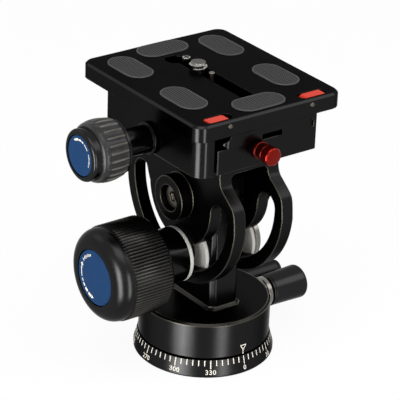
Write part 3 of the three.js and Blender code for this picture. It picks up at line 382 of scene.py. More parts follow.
def turned(profile: Profile, steps: int = ROUND) -> Mesh:
    """Turns a profile round +Z.

    Args:
        profile: Points of radius and height. One that starts off the axis is closed to a ring.
        steps: Steps of the full turn.

    Returns:
        A closed mesh.
    """
    mesh = bmesh.new()
    closing = profile[:1] if profile[0][0] else ()
    points = [mesh.verts.new((radius, 0, height)) for radius, height in (*profile, *closing)]
    edges = [mesh.edges.new(pair) for pair in zip(points, points[1:])]
    bmesh.ops.spin(
        mesh, geom=[*points, *edges], cent=ORIGIN, axis=(0, 0, 1), angle=math.tau, steps=steps, use_merge=True
    )
    bmesh.ops.remove_doubles(mesh, verts=mesh.verts, dist=MERGE)
    bmesh.ops.recalc_face_normals(mesh, faces=mesh.faces)
    return mesh


def rod(radius: float, low: float, high: float, chamfer: float = 0.3, steps: int = SMALL) -> Mesh:
    """Turns a rod whose ends are chamfered.

    Args:
        radius: The rod's radius.
        low: Height of its lower end.
        high: Height of its upper end.
        chamfer: Width of the chamfers.
        steps: Steps of the full turn.

    Returns:
        A closed mesh.
    """
    inner = radius - chamfer
    lower = [(0, low), (inner, low), (radius, low + chamfer)]
    return turned([*lower, (radius, high - chamfer), (inner, high), (0, high)], steps)


def rounding(radius: float, height: float, curve: float, count: int = 10) -> list[tuple[float, float]]:
    """Quarter round on a profile, from its flank to its top.

    Args:
        radius: The flank's radius.
        height: The top's height.
        curve: Radius of the rounding.
        count: Number of steps.

    Returns:
        The points of the rounding.
    """
    angles = (math.pi / 2 * i / count for i in range(count + 1))
    return [(radius - curve + curve * math.cos(a), height - curve + curve * math.sin(a)) for a in angles]


def ribbed(
    mesh: Mesh, wall: float, low: float, high: float, count: int, cut: Sequence[float], fade: float = MERGE
) -> None:
    """Presses grooves along the axis into a turned wall.

    Args:
        mesh: The turned mesh, with as many steps as grooves times cuts.
        wall: Least radius of the wall, which may bulge.
        low: Lower end of the grooves.
        high: Upper end of the grooves.
        count: Number of grooves.
        cut: How deep each step of one groove lies.
        fade: Length over which the grooves rise to the wall at their ends.
    """
    steps = count * len(cut)
    for point in mesh.verts:
        radius = point.co.xy.length
        if low < point.co.z < high and radius > wall - 2 * MERGE:
            step = round(math.atan2(point.co.y, point.co.x) / math.tau * steps) % len(cut)
            ease = min(1.0, (point.co.z - low) / fade, (high - point.co.z) / fade)
            scale_radius(point, (radius - ease * cut[step]) / radius)


def recess_face(mesh: Mesh, recess: Recess, size: float) -> None:
    """Makes the floor of a driver's recess at height zero.

    Args:
        mesh: The mesh that gets it.
        recess: Its shape.
        size: Its radius, or half its length.
    """
    if recess is Recess.HEXAGON:
        bmesh.ops.create_circle(mesh, cap_ends=True, segments=6, radius=size)
    elif recess is Recess.SLOT:
        made = bmesh.ops.create_grid(mesh, x_segments=1, y_segments=1, size=size)
        bmesh.ops.scale(mesh, vec=(1, SLOT_WIDTH, 1), verts=made["verts"])
    else:
        bmesh.ops.create_grid(mesh, x_segments=3, y_segments=3, size=size)
        corners = [f for f in mesh.faces if min(abs(c) for c in f.calc_center_median().xy) > size / 3]
        bmesh.ops.delete(mesh, geom=corners, context="FACES")
        for point in mesh.verts:
            for side in (0, 1):
                if abs(point.co[side]) < size / 2:
                    point.co[side] *= ARM_WIDTH


def screw(recess: Recess, size: float, depth: float, profile: Profile, steps: int = SMALL) -> Mesh:
    """Makes a screw whose head faces +Z at height zero.

    Args:
        recess: Shape of the driver's recess.
        size: The recess's radius, or half its length.
        depth: How deep the recess is.
        profile: Points of radius and height, from the head's rim down to the tip.
        steps: Steps round the screw.

    Returns:
        A closed mesh.
    """
    mesh = bmesh.new()
    recess_face(mesh, recess, size)
    outline = [e for e in mesh.edges if e.is_boundary]
    cuts = steps // len(outline) - 1
    if cuts:
        bmesh.ops.subdivide_edges(mesh, edges=outline, cuts=cuts)
    floor = mesh.faces[:]
    inner = [e for e in mesh.edges if e.is_boundary]
    circle = bmesh.ops.create_circle(mesh, cap_ends=False, segments=steps, radius=profile[0][0])
    rim = [e for e in mesh.edges if set(e.verts) <= set(circle["verts"])]
    bmesh.ops.bridge_loops(mesh, edges=inner + rim)
    pushed = bmesh.ops.extrude_face_region(mesh, geom=floor)
    bmesh.ops.translate(mesh, vec=(0, 0, -depth), verts=only(Point, pushed))
    bmesh.ops.delete(mesh, geom=[f for f in floor if f.is_valid], context="FACES_ONLY")
    for (radius, height), (wider, above) in zip(profile[1:], profile):
        pulled = bmesh.ops.extrude_edge_only(mesh, edges=rim)
        points, rim = only(Point, pulled), only(Edge, pulled)
        bmesh.ops.scale(mesh, vec=(radius / wider, radius / wider, 1), verts=points)
        bmesh.ops.translate(mesh, vec=(0, 0, height - above), verts=points)
    bmesh.ops.holes_fill(mesh, edges=rim, sides=0)
    bmesh.ops.recalc_face_normals(mesh, faces=mesh.faces)
    return mesh


def add_box(mesh: Mesh, middle: Place, size: Place, turn: float = 0.0, cuts: int = 0) -> None:
    """Adds a box to a mesh.

    Args:
        mesh: The mesh that gets it.
        middle: Its middle.
        size: Its sides.
        turn: Its turn about +Z, in radians.
        cuts: How often its edges along X are cut, so that it can follow a curve.
    """
    matrix = Matrix.Translation(middle) @ Matrix.Rotation(turn, 4, "Z") @ Matrix.Diagonal((*size, 1))
    points = set(bmesh.ops.create_cube(mesh, size=1, matrix=matrix)["verts"])
    if cuts:
        own = [e for e in mesh.edges if set(e.verts) <= points]
        along = [e for e in own if abs(e.verts[0].co.x - e.verts[1].co.x) > size[0] / 2]
        bmesh.ops.subdivide_edges(mesh, edges=along, cuts=cuts, use_grid_fill=True)


def copied(node: str) -> Mesh:
    """Copies a CAD node as whole flat faces.

    Args:
        node: The node's name.

    Returns:
        Its mesh in millimetres.
    """
    mesh = bmesh.new()
    mesh.from_mesh(frame["nodes"][node].data)
    bmesh.ops.scale(mesh, vec=(1 / MM,) * 3, verts=mesh.verts)
    bmesh.ops.remove_doubles(mesh, verts=mesh.verts, dist=MERGE)
    bmesh.ops.dissolve_limit(mesh, angle_limit=math.radians(0.5), verts=mesh.verts, edges=mesh.edges)
    return mesh


def make_round(mesh: Mesh, side: int, centre: Place, radii: Sequence[float], cuts: int = 3) -> None:
    """Cuts the chords of a copied node's round walls and moves the new points out to the true circle.

    Args:
        mesh: The copied node.
        side: The walls' axis: 0 for X, 1 for Y, 2 for Z.
        centre: A point on the axis.
        radii: Radii of the walls.
        cuts: Cuts in each chord.
    """

    near, bulge, shortest, clear = 0.02, 0.12, 0.2, 0.2

    def spoke(point: Vector) -> Vector:
        """Measures how a point lies from the axis.

        Args:
            point: The point.

        Returns:
            Its offset, square to the axis.
        """
        offset = point - Vector(centre)
        offset[side] = 0
        return offset

    for radius in radii:
        chords = [
            edge
            for edge in mesh.edges
            if all(abs(spoke(v.co).length - radius) < near for v in edge.verts)
            and abs(edge.verts[0].co[side] - edge.verts[1].co[side]) < MERGE
            and radius - spoke((edge.verts[0].co + edge.verts[1].co) / 2).length < bulge
            and edge.calc_length() > shortest
        ]
        made = bmesh.ops.subdivide_edges(mesh, edges=chords, cuts=cuts)["geom_inner"]
        for point in (g for g in made if isinstance(g, Point)):
            offset = spoke(point.co)
            if clear < radius - clear < offset.length < radius:
                point.co += offset * (radius / offset.length - 1)


def round_upright_edges(mesh: Mesh, shortest: float, width: float) -> None:
    """Rounds a copied node's long upright edges, which catch the light in the photograph.

    Args:
        mesh: The copied node.
        shortest: Length below which an edge is left as it is.
        width: Width of the rounding.
    """
    long = [e for e in mesh.edges if e.calc_length() > shortest and e.calc_face_angle(0.0) > math.radians(20)]
    round_edges(mesh, [e for e in long if (e.verts[0].co - e.verts[1].co).xy.length < MERGE], width, 4)


def soften(mesh: Mesh, width: float, sharp: float, worn: bool) -> None:
    """Rounds a mesh's sharp edges and then splits its concave faces, so that each fills its outline alone.

    Args:
        mesh: The mesh.
        width: Width of the rounding.
        sharp: Angle in radians past which an edge counts as sharp.
        worn: Whether the roundings take the second finish, the worn edges with their painted highlight.
    """
    made = round_edges(mesh, [edge for edge in mesh.edges if edge.calc_face_angle(0.0) > sharp], width)
    # The roundings take the second finish: worn edges painted with a thin highlight.
    if worn:
        for face in made:
            face.material_index = 1
    split = list(dict.fromkeys(bmesh.ops.connect_verts_concave(mesh, faces=mesh.faces)["faces"]))
    if split:
        level = bmesh.ops.triangulate(mesh, faces=split, ngon_method="BEAUTY")["faces"]
        inside = [e for e in dict.fromkeys(e for f in level for e in f.edges) if e.calc_face_angle(1.0) < COPLANAR]
        inside = [e for e in inside if all(len(f.verts) == 3 for f in e.link_faces)]
        bmesh.ops.beautify_fill(mesh, faces=level, edges=inside, method="ANGLE")


def append(mesh: Mesh, other: Mesh) -> None:
    """Moves one mesh's geometry into another.

    Args:
        mesh: The mesh that gets it.
        other: The mesh that is used up.
    """
    carrier = bpy.data.meshes.new("carrier")
    other.to_mesh(carrier)
    other.free()
    mesh.from_mesh(carrier)
    bpy.data.meshes.remove(carrier)


def link(name: str, data: bpy.types.ID) -> bpy.types.Object:
    """Makes an object in the scene.

    Args:
        name: Its name.
        data: Its mesh, lamp or camera.

    Returns:
        The object.
    """
    made = bpy.data.objects.new(name, data)
    bpy.context.scene.collection.objects.link(made)
    return made


# Sub-assemblies


class Assembly:
    """A sub-assembly: it makes its pieces and hands them to the frame."""

    def hand_over(
        self,
        mesh: Mesh,
        name: str,
        body: str,
        finish: Finish,
        node: str = "",
        edge: float = 0.0,
        matrix: Matrix = Matrix.Identity(4),
        sharp: float = 32.0,
        more: Sequence[Finish] = (),
    ) -> None:
        """Makes a mesh a piece of the head.

        Args:
            mesh: The mesh in millimetres, which is used up.
            name: The piece's name.
            body: The CAD body that it rides on.
            finish: Its finish.
            node: The CAD node that it stands for.
            edge: Width of its softened edges, or zero to leave them.
            matrix: Where it goes in the head.
            sharp: Angle in degrees past which an edge counts as sharp.
            more: Finishes of the faces with index 1 and up. Softened edges take EDGE_WEAR_AND_HIGHLIGHT, worn edges
                with a painted highlight, where it is among them.
        """
        if edge:
            soften(mesh, edge, math.radians(sharp), EDGE_WEAR_AND_HIGHLIGHT in more)
            sharp = 60.0
        bmesh.ops.transform(mesh, matrix=Matrix.Scale(MM, 4) @ matrix, verts=mesh.verts)
        data = bpy.data.meshes.new(name)
        mesh.to_mesh(data)
        mesh.free()
        data.shade_smooth()
        data.set_sharp_from_angle(angle=math.radians(sharp))
        for layer in (finish, *more):
            data.materials.append(layer.material())
        piece = link(name, data)
        if edge:
            flat = piece.modifiers.new("flat faces", "WEIGHTED_NORMAL")
            flat.weight = 100
            flat.keep_sharp = True
        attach(piece, body)
        if node:
            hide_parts(node)
        log.info("%s: %d faces, on %s", name, len(data.polygons), body)


@dataclass
class Marks:
    """White marks on a round wall, laid out flat and then wrapped round it.

    Flat X runs round the wall, flat Y up its slope from the upper edge, and flat Z outwards.
    """

    top_radius: float
    top_height: float
    slope: tuple[float, float] = (0.0, -1.0)
    thickness: float = 0.05
    mesh: Mesh = field(default_factory=bmesh.new)

    def add_line(self, angle: float, top: float, length: float, width: float, lean: float = 0.0) -> None:
        """Adds a line down the wall.

        Args:
            angle: Its place round the wall, in degrees.
            top: How far below the upper edge it starts.
            length: Its length.
            width: Its width.
            lean: Its turn about its own middle, in radians.
        """
        middle = (math.radians(angle) * self.top_radius, -top - length / 2, 0)
        add_box(self.mesh, middle, (width, length, self.thickness), lean)

    def add_text(self, text: str, angle: float, top: float, size: float) -> None:
        """Adds a number under a line.

        Args:
            text: The number.
            angle: Its place round the wall, in degrees.
            top: How far below the upper edge its top lies.
            size: Height of the type.
        """
        curve = bpy.data.curves.new("number", "FONT")
        look = {"body": text, "size": size, "align_x": "CENTER", "align_y": "TOP", "extrude": self.thickness / 2}
        look |= {"offset": size * 0.012, "space_character": 1.08, "resolution_u": 3}
        for name, value in look.items():
            setattr(curve, name, value)
        carrier = bpy.data.objects.new("number", curve)
        flat = bpy.data.meshes.new_from_object(carrier)
        flat.transform(Matrix.Translation((math.radians(angle) * self.top_radius, -top, 0)))
        self.mesh.from_mesh(flat)
        bpy.data.objects.remove(carrier)
        bpy.data.curves.remove(curve)
        bpy.data.meshes.remove(flat)

    def wrapped(self) -> Mesh:
        """Wraps the marks round the wall.

        Returns:
            Their mesh in the head.
        """
        out, down = Vector(self.slope).normalized()
        for point in self.mesh.verts:
            angle = point.co.x / self.top_radius
            radius = self.top_radius - point.co.y * out - point.co.z * down
            height = self.top_height - point.co.y * down + point.co.z * out
            point.co = (radius * math.cos(angle), radius * math.sin(angle), height)
        bmesh.ops.remove_doubles(self.mesh, verts=self.mesh.verts, dist=MERGE / 2)
        return self.mesh


@dataclass
class Base(Assembly):
    """The graduated ring on the tripod, its thread bush and its screws."""

    radius: float = 25.0
    top_radius: float = 23.7
    other_radii: tuple = (24.4, 23.7, 13.3, 6.8)
    rim: float = 2.0
    height: float = 6.6
    bush_radius: float = 6.5
    bush_ends: tuple = (0.3, 9.3)
    bore_radius: float = 4.76
    thread_pitch: float = 1.5875
    thread_depth: float = 0.7
    screw_circle: float = 10.4
    screw_height: float = 0.5
    screw_profile: Profile = ((2.4, 0), (2.4, -2.2), (1.3, -2.2), (1.3, -10))
    tick_length: float = 2.0
    long_tick_length: float = 3.0
    tick_width: float = 0.36
    number_size: float = 2.35

    def build(self) -> None:
        """Builds the ring, its marks, the bush and the screws."""
        body = copied("base_ring")
        make_round(body, 2, ORIGIN, (self.radius, *self.other_radii))
        self.hand_over(body, "graduated_ring", "base", TURNED_UP, "base_ring", 0.18)
        self.hand_over(self.marks(), "scale_marks", "base", INK)
        self.hand_over(self.bush(), "thread_bush", "base", STEEL, "tripod_thread_bush", 0.08)
        for i in range(3):
            angle = math.tau * i / 3 + math.pi / 2
            spot = (self.screw_circle * math.cos(angle), self.screw_circle * math.sin(angle), self.screw_height)
            made = screw(Recess.HEXAGON, 1.3, 1.1, self.screw_profile)
            name, node = f"ring_screw_{i + 1}", f"base_screw_{i + 1}"
            self.hand_over(made, name, "base", STEEL, node, 0.12, Axis.DOWN.placed(spot))

    def marks(self) -> Mesh:
        """Lays out the scale: a tick every 5 degrees, and every 30 a longer one with its number.

        Returns:
            The marks' mesh.
        """
        scale = Marks(self.top_radius, self.height, (self.radius - self.top_radius, self.rim - self.height))
        for degree in range(0, 360, 5):
            long = degree % 30 == 0
            length = self.long_tick_length if long else self.tick_length
            scale.add_line(degree - 90, 0.12, length, self.tick_width)
            if long:
                scale.add_text(str(degree), degree - 90, self.long_tick_length + 0.28, self.number_size)
        return scale.wrapped()

    def bush(self) -> Mesh:
        """Turns the bush, with the grooves of its thread in the bore.

        Returns:
            The bush's mesh.
        """
        low, high = self.bush_ends
        profile = [(self.bore_radius, low), (self.bush_radius, low), (self.bush_radius, high)]
        for i in range(int((high - low) / self.thread_pitch)):
            foot = high - i * self.thread_pitch
            profile += [(self.bore_radius, foot), (self.bore_radius + self.thread_depth, foot - self.thread_pitch / 2)]
        return turned(profile, SMALL)


@dataclass
class Drum(Assembly):
    """The panning drum with its post, and the pan lock beside it."""

    radius: float = 23.4
    other_radii: tuple = (22.6, 18.7)
    gap: float = 7.2
    pivot: float = 62.5
    boss_radii: tuple = (12.0, 6.3)
    post_edge: tuple = (20.0, 0.55)
    lock_height: float = 13.6
    plug_place: Place = (0, 12.6, 13)
    collar: Profile = (
        (2.5, 22.6), (5.6, 22.6), (5.6, 24.6), (5.15, 24.8), (5.15, 25.2), (5.6, 25.4), (5.6, 27), (2.5, 27)
    )
    knob: Profile = (
        (0, 38.3), (2.3, 38.3), (2.3, 27.5), (5.4, 27.5), (5.8, 27.9), (5.8, 28.6), (5.6, 28.75), (5.8, 28.9)
    )
    plug: Profile = (
        (0, 17.9), (5.2, 17.9), (5.2, 39.8), (4.8, 40.2), (3.4, 40.2), (3.4, 42.3), (3.1, 42.6), (1.6, 42.6),
        (1.6, 41.4), (0, 41.4),
    )

    def build(self) -> None:
        """Builds the drum and post, the index mark, the pan lock and the plug behind it."""
        body = copied("pan_housing")
        make_round(body, 2, ORIGIN, (self.radius, *self.other_radii))
        make_round(body, 0, (0, 0, self.pivot), self.boss_radii)
        round_upright_edges(body, *self.post_edge)
        # Its softened edges take the worn edge finish with its painted highlight.
        self.hand_over(body, "drum_and_post", "pan", TURNED_UP, "pan_housing", 0.22, more=[EDGE_WEAR_AND_HIGHLIGHT])
        self.hand_over(self.index(), "index_mark", "pan", INK)
        across = Axis.RIGHT.placed((0, 0, self.lock_height))
        self.hand_over(turned(self.collar), "lock_collar", "pan", STEEL_ACROSS_PAINTED_SHADE, "pan_lock_collar", 0.12, across)
        knob = turned([*self.knob, *rounding(6.2, 43, 1.6), (0, 43)])
        self.hand_over(knob, "lock_grip", "pan_knob", KNOB, "pan_lock_knob", 0.1, across)
        self.hand_over(rod(2, 19.65, 38), "lock_thread", "pan_knob", STEEL_ACROSS_PAINTED_SHADE, "pan_lock_screw", 0, across)
        place = Axis.RIGHT.placed(self.plug_place)
        self.hand_over(turned(self.plug), "side_plug", "pan", BLASTED, "rear_plug", 0.15, place)

    def index(self) -> Mesh:
        """Draws the index: an open triangle that points down, and a line from its tip.

        Returns:
            The mark's mesh.
        """
        wide, tall, stroke, stem = 2.2, 2.0, 0.32, 1.5
        mark = Marks(self.radius, self.gap + 3.4)
        flank = math.atan2(wide / 2, tall)
        reach = math.hypot(wide / 2, tall)
        for side in (-1, 1):
            offset = math.degrees(side * wide / 4 / self.radius)
            mark.add_line(offset - 90, (tall - reach) / 2, reach, stroke, -side * flank)
        add_box(mark.mesh, (-math.pi / 2 * self.radius, 0, 0), (wide + stroke, stroke, mark.thickness), cuts=4)
        mark.add_line(-90, tall - stroke / 2, stem + stroke / 2, stroke)
        return mark.wrapped()


@dataclass
class Yoke(Assembly):
    """The tilting yoke on its pivot, with the screws that hold the clamp."""

    pivot: float = 62.5
    round_walls: tuple = (31.7, 27.1, 17.9, 8.04, 4.7, 4.3)
    slot_circle: float = 22.5
    slot_end: float = 4.6
    screw_face: float = 15.4
    smoothing: int = 6
    shoulder_top: float = 72.5
    neck_side: float = 20
    ring_top: float = 69
    ring_edge: float = 27.6
    axle_screw: Profile = ((3.9, 0), (4.3, -0.4), (4.3, -1.4), (2, -1.4), (2, -5.7))
    clamp_screw: Profile = ((3.2, 0), (3.2, -2), (1.9, -2), (1.9, -10.5))

    def build(self) -> None:
        """Builds the yoke, its pivot screws and the clamp's screws."""
        body = copied("tilt_yoke")
        make_round(body, 0, (0, 0, self.pivot), self.round_walls)
        for side in (-1, 1):
            make_round(body, 0, (0, side * self.slot_circle, self.pivot), (self.slot_end,))
        shoulders = [
            point
            for point in body.verts
            if self.pivot + 1 < point.co.z < self.shoulder_top
            and abs(point.co.y) > self.neck_side
            and (point.co.z > self.ring_top or math.hypot(point.co.y, point.co.z - self.pivot) > self.ring_edge)
        ]
        for _ in range(self.smoothing):
            bmesh.ops.smooth_vert(body, verts=shoulders, factor=0.5, use_axis_y=True, use_axis_z=True)
        # Its softened edges take the worn edge finish with its painted highlight.
        self.hand_over(body, "slotted_yoke", "tilt", BLASTED, "tilt_yoke", 0.3, more=[EDGE_WEAR_AND_HIGHLIGHT])
        for axis, hand in ((Axis.LEFT, "left"), (Axis.RIGHT, "right")):
            made = screw(Recess.HEXAGON, 2.1, 0.9, self.axle_screw)
            place = axis.placed((axis.value[0] * self.screw_face, 0, self.pivot))
            self.hand_over(made, f"axle_screw_{hand}", "tilt", DULL_STEEL, f"pivot_screw_{hand}", 0.08, place)
        for i, y in enumerate((-9, 9)):
            made = screw(Recess.HEXAGON, 1.9, 1, self.clamp_screw)
            place = Axis.DOWN.placed((0, y, 77.5))
            self.hand_over(made, f"crossbar_screw_{i + 1}", "tilt", STEEL, f"yoke_screw_{i + 1}", 0.12, place)


@dataclass
class BlueDisc(Assembly):
    """A blue disc in a knob's nose, with generic marks for turning it.

    Strokes are a first and a last angle with half a width as a share of the radius, heads an angle and a way round,
    and dashes a first and a last angle with a count.
    """

    radius: float = 9.9
    face: float = 21.9
    thickness: float = 0.7
    strokes: tuple = ((76, 108, 0.022), (113, 121, 0.03), (125, 134, 0.04), (138, 150, 0.05), (154, 166, 0.055))
    heads: tuple = ((73, -1), (171, 1))
    dashes: tuple = (18, 62, 9)
    relief: float = 0.03

    def dress(self, name: str, body: str, node: str, matrix: Matrix) -> None:
        """Builds the disc and its marks.

        Args:
            name: The disc's name.
            body: The body that it rides on.
            node: The CAD node that it stands for.
            matrix: Where it goes in the head.
        """
        disc = rod(self.radius, self.face - self.thickness, self.face, 0.2, ROUND)
        self.hand_over(disc, name, body, BLUE, node, 0, matrix)
        marks = bmesh.new()
        reach = Matrix.Translation((0.8 * self.radius, 0, self.face))
        for start, end, share in self.strokes:
            self.add_arc(marks, reach, start, end, share)
        for angle, way in self.heads:
            place = Matrix.Rotation(math.radians(angle), 4, "Z") @ reach @ Matrix.Translation((0, 0, -self.relief))
            place @= Matrix.Rotation(0 if way > 0 else math.pi, 4, "Z")
            size = 0.09 * self.radius
            bmesh.ops.create_cone(
                marks, cap_ends=True, segments=3, radius1=size, radius2=size, depth=4 * self.relief, matrix=place
            )
        first, last, count = self.dashes
        step = (last - first) / count
        for i in range(count):
            share = (0.05, 0.035, 0.06)[i % 3]
            self.add_arc(marks, reach, first + i * step, first + (i + 0.45) * step, share)
        self.hand_over(marks, f"{name}_marks", body, INK, matrix=matrix)

    def add_arc(self, mesh: Mesh, reach: Matrix, start: float, end: float, share: float) -> None:
        """Adds a curved stroke.

        Args:
            mesh: The marks' mesh.
            reach: Its place at angle zero.
            start: Its first angle, in degrees.
            end: Its last angle, in degrees.
            share: Half its width, as a share of the disc's radius.
        """
        upright = Matrix.Rotation(math.pi / 2, 4, "X") @ Matrix.Diagonal((share * self.radius, self.relief, 1, 1))
        place = Matrix.Rotation(math.radians(start), 4, "Z") @ reach @ upright
        points = bmesh.ops.create_grid(mesh, x_segments=1, y_segments=1, size=1, matrix=place)["verts"]
        face = points[0].link_faces[0]
        turn = math.radians(end - start)
        bmesh.ops.spin(
            mesh, geom=[*points, *face.edges, face], cent=ORIGIN, axis=(0, 0, 1), angle=turn, steps=12
        )


@dataclass
class TiltLock(Assembly):
    """The tilt lock: its bolt and washers, the sleeve and the large ribbed knob."""

    height: float = 40.0
    start: float = 25.45
    radius: float = 17.0
    length: float = 22.0
    nose: float = 5.6
    ribs: int = 90
    rib_depth: float = 0.42
    bolt: Profile = ((8.7, 0), (9.2, -0.5), (9.2, -2.3), (3, -2.3), (3, -53.0), (2.7, -53.3))
    inner_washer: Profile = ((3.3, 6.15), (9.9, 6.15), (9.9, 7.55), (3.3, 7.55))
    outer_washer: Profile = ((3.3, 12.65), (9.9, 12.65), (9.9, 14.05), (8.4, 14.05), (8.4, 14.85), (3.3, 14.85))
    sleeve: Profile = (
        (3.3, 15), (8.5, 15), (8.5, 14.1), (9.8, 14.1), (9.9, 14.2), (9.9, 22.9), (9.5, 23.3), (9.5, 25.3),
        (3.3, 25.3),
    )

    def build(self) -> None:
        """Builds the lock from the bolt outwards."""
        bolt = screw(Recess.HEXAGON, 2.5, 1.4, self.bolt)
        place = Axis.RIGHT.placed((17.3, 0, self.height))
        self.hand_over(bolt, "lock_bolt", "pan", STEEL_ACROSS_PAINTED_SHADE, "tilt_lock_bolt", 0.12, place)
        centre = (0, 0, self.height)
        for name, body, axis, finish, profile in (
            ("washer_inner_left", "pan", Axis.LEFT, NYLON, self.inner_washer),
            ("washer_inner_right", "pan", Axis.RIGHT, NYLON, self.inner_washer),
            # The outer washers take the nylon painted greyer: painted shade.
            ("washer_outer_left", "lock_slide", Axis.LEFT, NYLON_PAINTED_SHADE, self.outer_washer),
            ("washer_outer_right", "pan", Axis.RIGHT, NYLON_PAINTED_SHADE, self.outer_washer),
        ):
            self.hand_over(turned(profile), name, body, finish, f"lock_{name}", 0.2, axis.placed(centre))
        sleeve, left = turned(self.sleeve, FINE), Axis.LEFT.placed(centre)
        self.hand_over(sleeve, "lock_sleeve", "lock_slide", SLEEVE, "tilt_lock_collar", 0.1, left)
        outer = Axis.LEFT.placed((-self.start, 0, self.height))
        self.hand_over(self.knob(), "ribbed_knob", "lock_knob", RIBBED, "tilt_lock_knob", 0, outer, 38)
        insert = screw(Recess.HEXAGON, 3.3, 9.8, [(5.5, 0), (5.5, -9.85)], 6)
        place = Axis.RIGHT.placed((-25.6, 0, self.height))
        self.hand_over(insert, "knob_insert", "lock_knob", BRASS, "tilt_knob_insert", 0, place)
        BlueDisc().dress("large_disc", "lock_knob", "tilt_knob_disc", outer)

    def knob(self) -> Mesh:
        """Turns the knob and presses its fine ribs.

        Returns:
            The knob's mesh.
        """
        shoulder = self.length - self.nose
        inner = self.radius - self.rib_depth
        profile = [(0, 12.5), (5.9, 12.5), (5.9, 0), (inner - 1.0, 0), (inner - 0.3, 0.2), (inner, 0.7)]
        profile += [(self.radius, 1.2), (self.radius, shoulder - 0.9), (inner, shoulder)]
        profile += rounding(inner, self.length, self.nose - 0.4)
        profile += [(10.2, self.length), (10.2, 21.05), (0, 21.05)]
        cut = (self.rib_depth, self.rib_depth / 2, 0.0, self.rib_depth / 2)
        mesh = turned(profile, self.ribs * len(cut))
        ribbed(mesh, self.radius, 1.1, shoulder - 0.8, self.ribs, cut)
        return mesh


@dataclass
class Clamp(Assembly):
    """The clamp under the plate: its body, jaw, knob and red release button."""

    screw_height: float = 87.3
    knob_start: float = 39.0
    grooves: int = 24
    groove: tuple = (0, 0.4, 0.62, 0.7, 0.7, 0.7, 0.62, 0.4)
    grip: tuple = (1.45, 11.5)
    pin_offset: float = 18
    button_place: Place = (-1.15, -28.4, 88)
    button_step: float = 4.9
    sleeve: Profile = (
        (2.8, 26.15), (5.5, 26.15), (5.7, 26.35), (5.7, 27.35), (4.8, 27.35), (4.8, 38.5), (4.6, 38.85),
        (2.8, 38.85),
    )
    bush: Profile = ((1.7, -3.4), (2.4, -3.4), (2.4, 0.15), (3.25, 0.15), (3.25, 1.2), (2.95, 1.5), (1.7, 1.5))
    button: Profile = (
        (0, -7.2), (2.3, -7.2), (2.3, -5.2), (1.4, -5.2), (1.4, 3.15), (2.9, 3.15), (3.15, 3.4), (3.15, 4.3),
        (3.0, 4.5), (3.25, 4.9), (3.25, 7.55), (2.8, 8.05), (0, 8.05),
    )

    def build(self) -> None:
        """Builds the clamp from its body outwards."""
        for node, name, body, edge in (
            ("clamp_body", "clamp_block", "tilt", 0.2),
            ("clamp_jaw", "clamp_slide", "jaw", 0.22),
        ):
            made = copied(node)
            round_upright_edges(made, 4.0, 0.5)
            # The softened edges take the worn edge finish with its painted highlight.
            self.hand_over(made, name, body, CUT, node, edge, more=[EDGE_WEAR_AND_HIGHLIGHT])
        for side, hand in ((-1, "front"), (1, "rear")):
            pin = rod(1.5, 5.99, 24.39)
            place = Axis.LEFT.placed((0, side * self.pin_offset, 86.8))
            self.hand_over(pin, f"slide_pin_{hand}", "jaw", STEEL_ACROSS_PAINTED_SHADE, f"jaw_guide_pin_{hand}", 0, place)
        left = Axis.LEFT.placed((0, 0, self.screw_height))
        self.hand_over(rod(2.5, -2, 50, 0.5), "clamp_spindle", "jaw_knob", STEEL_ACROSS_PAINTED_SHADE, "clamp_screw", 0, left)
        self.hand_over(turned(self.sleeve), "clamp_sleeve", "jaw_knob", SLEEVE, "clamp_knob_stem", 0.1, left)
        outer, more = Axis.LEFT.placed((-self.knob_start, 0, self.screw_height)), [KNOB, GRIP_CREST_HIGHLIGHT]
        self.hand_over(self.knob(), "grooved_knob", "jaw_knob", GRIP, "clamp_knob", 0, outer, 38, more)
        small = BlueDisc(
            radius=7.0,
            face=14.9,
            thickness=0.6,
            strokes=((-52, -26, 0.025), (-22, -10, 0.035), (-6, 6, 0.045), (10, 26, 0.055)),
            heads=((31, 1),),
            dashes=(-112, -62, 8),
        )
        small.dress("small_disc", "jaw_knob", "clamp_knob_disc", outer)
        self.release()

    def knob(self) -> Mesh:
        """Turns the knob and presses its wide grooves.

        Returns:
            The knob's mesh.
        """
        rear, front = self.grip
        profile = [(0, 11.3), (2.8, 11.3), (2.8, 0), (9.2, 0), (9.4, 0.2), (9.4, 1.1), (9.1, 1.25), (9.7, rear)]
        profile += [(10.1, 1.8), (10.4, 2.8), (10.65, 4.2), (10.8, 6), (10.8, 7.5), (10.65, 9), (10.4, 10)]
        profile += [(10.1, 10.8), (9.7, 11.3), (9.3, front), (8.9, 11.7), (8.85, 12.3), (9.0, 13.2)]
        profile += rounding(9.1, 15, 1.1, 6)
        profile += [(7.3, 15), (7.3, 14.1), (0, 14.1)]
        cuts = len(self.groove)
        mesh = turned(profile, self.grooves * cuts)
        ribbed(mesh, 9.8, rear, front - 1.6, self.grooves, self.groove, 1.5)
        # Index 1 is the bezel and the rear; index 2, along each ridge's crest, is a painted highlight.
        for face in mesh.faces:
            middle = face.calc_center_median()
            step = math.floor(math.atan2(middle.y, middle.x) / math.tau * self.grooves * cuts) % cuts
            if not rear < middle.z < front or middle.xy.length < 9:
                face.material_index = 1
            elif step in (0, cuts - 1) and rear + 0.8 < middle.z < front - 2:
                face.material_index = 2
        return mesh

    def release(self) -> None:
        """Builds the red release button, its bush and the safety pin."""
        front = Axis.FRONT.placed(self.button_place)
        self.hand_over(turned(self.bush, SMALL), "button_sleeve", "tilt", RED_BUSH, "button_bush", 0.06, front)
        button = turned(self.button)
        # The back of the button, behind its step, takes the bush's darker red: painted shade.
        for face in button.faces:
            face.material_index = int(face.calc_center_median().z < self.button_step)
        self.hand_over(button, "red_button", "button", RED_METAL, "release_button", 0.06, front, more=[RED_BUSH])
        place = Axis.UP.placed((PLATE_X, -14, 0))
        self.hand_over(rod(1.2, 85.6, 93.2, 0.25), "catch_pin", "catch", STEEL, "safety_pin", 0, place)


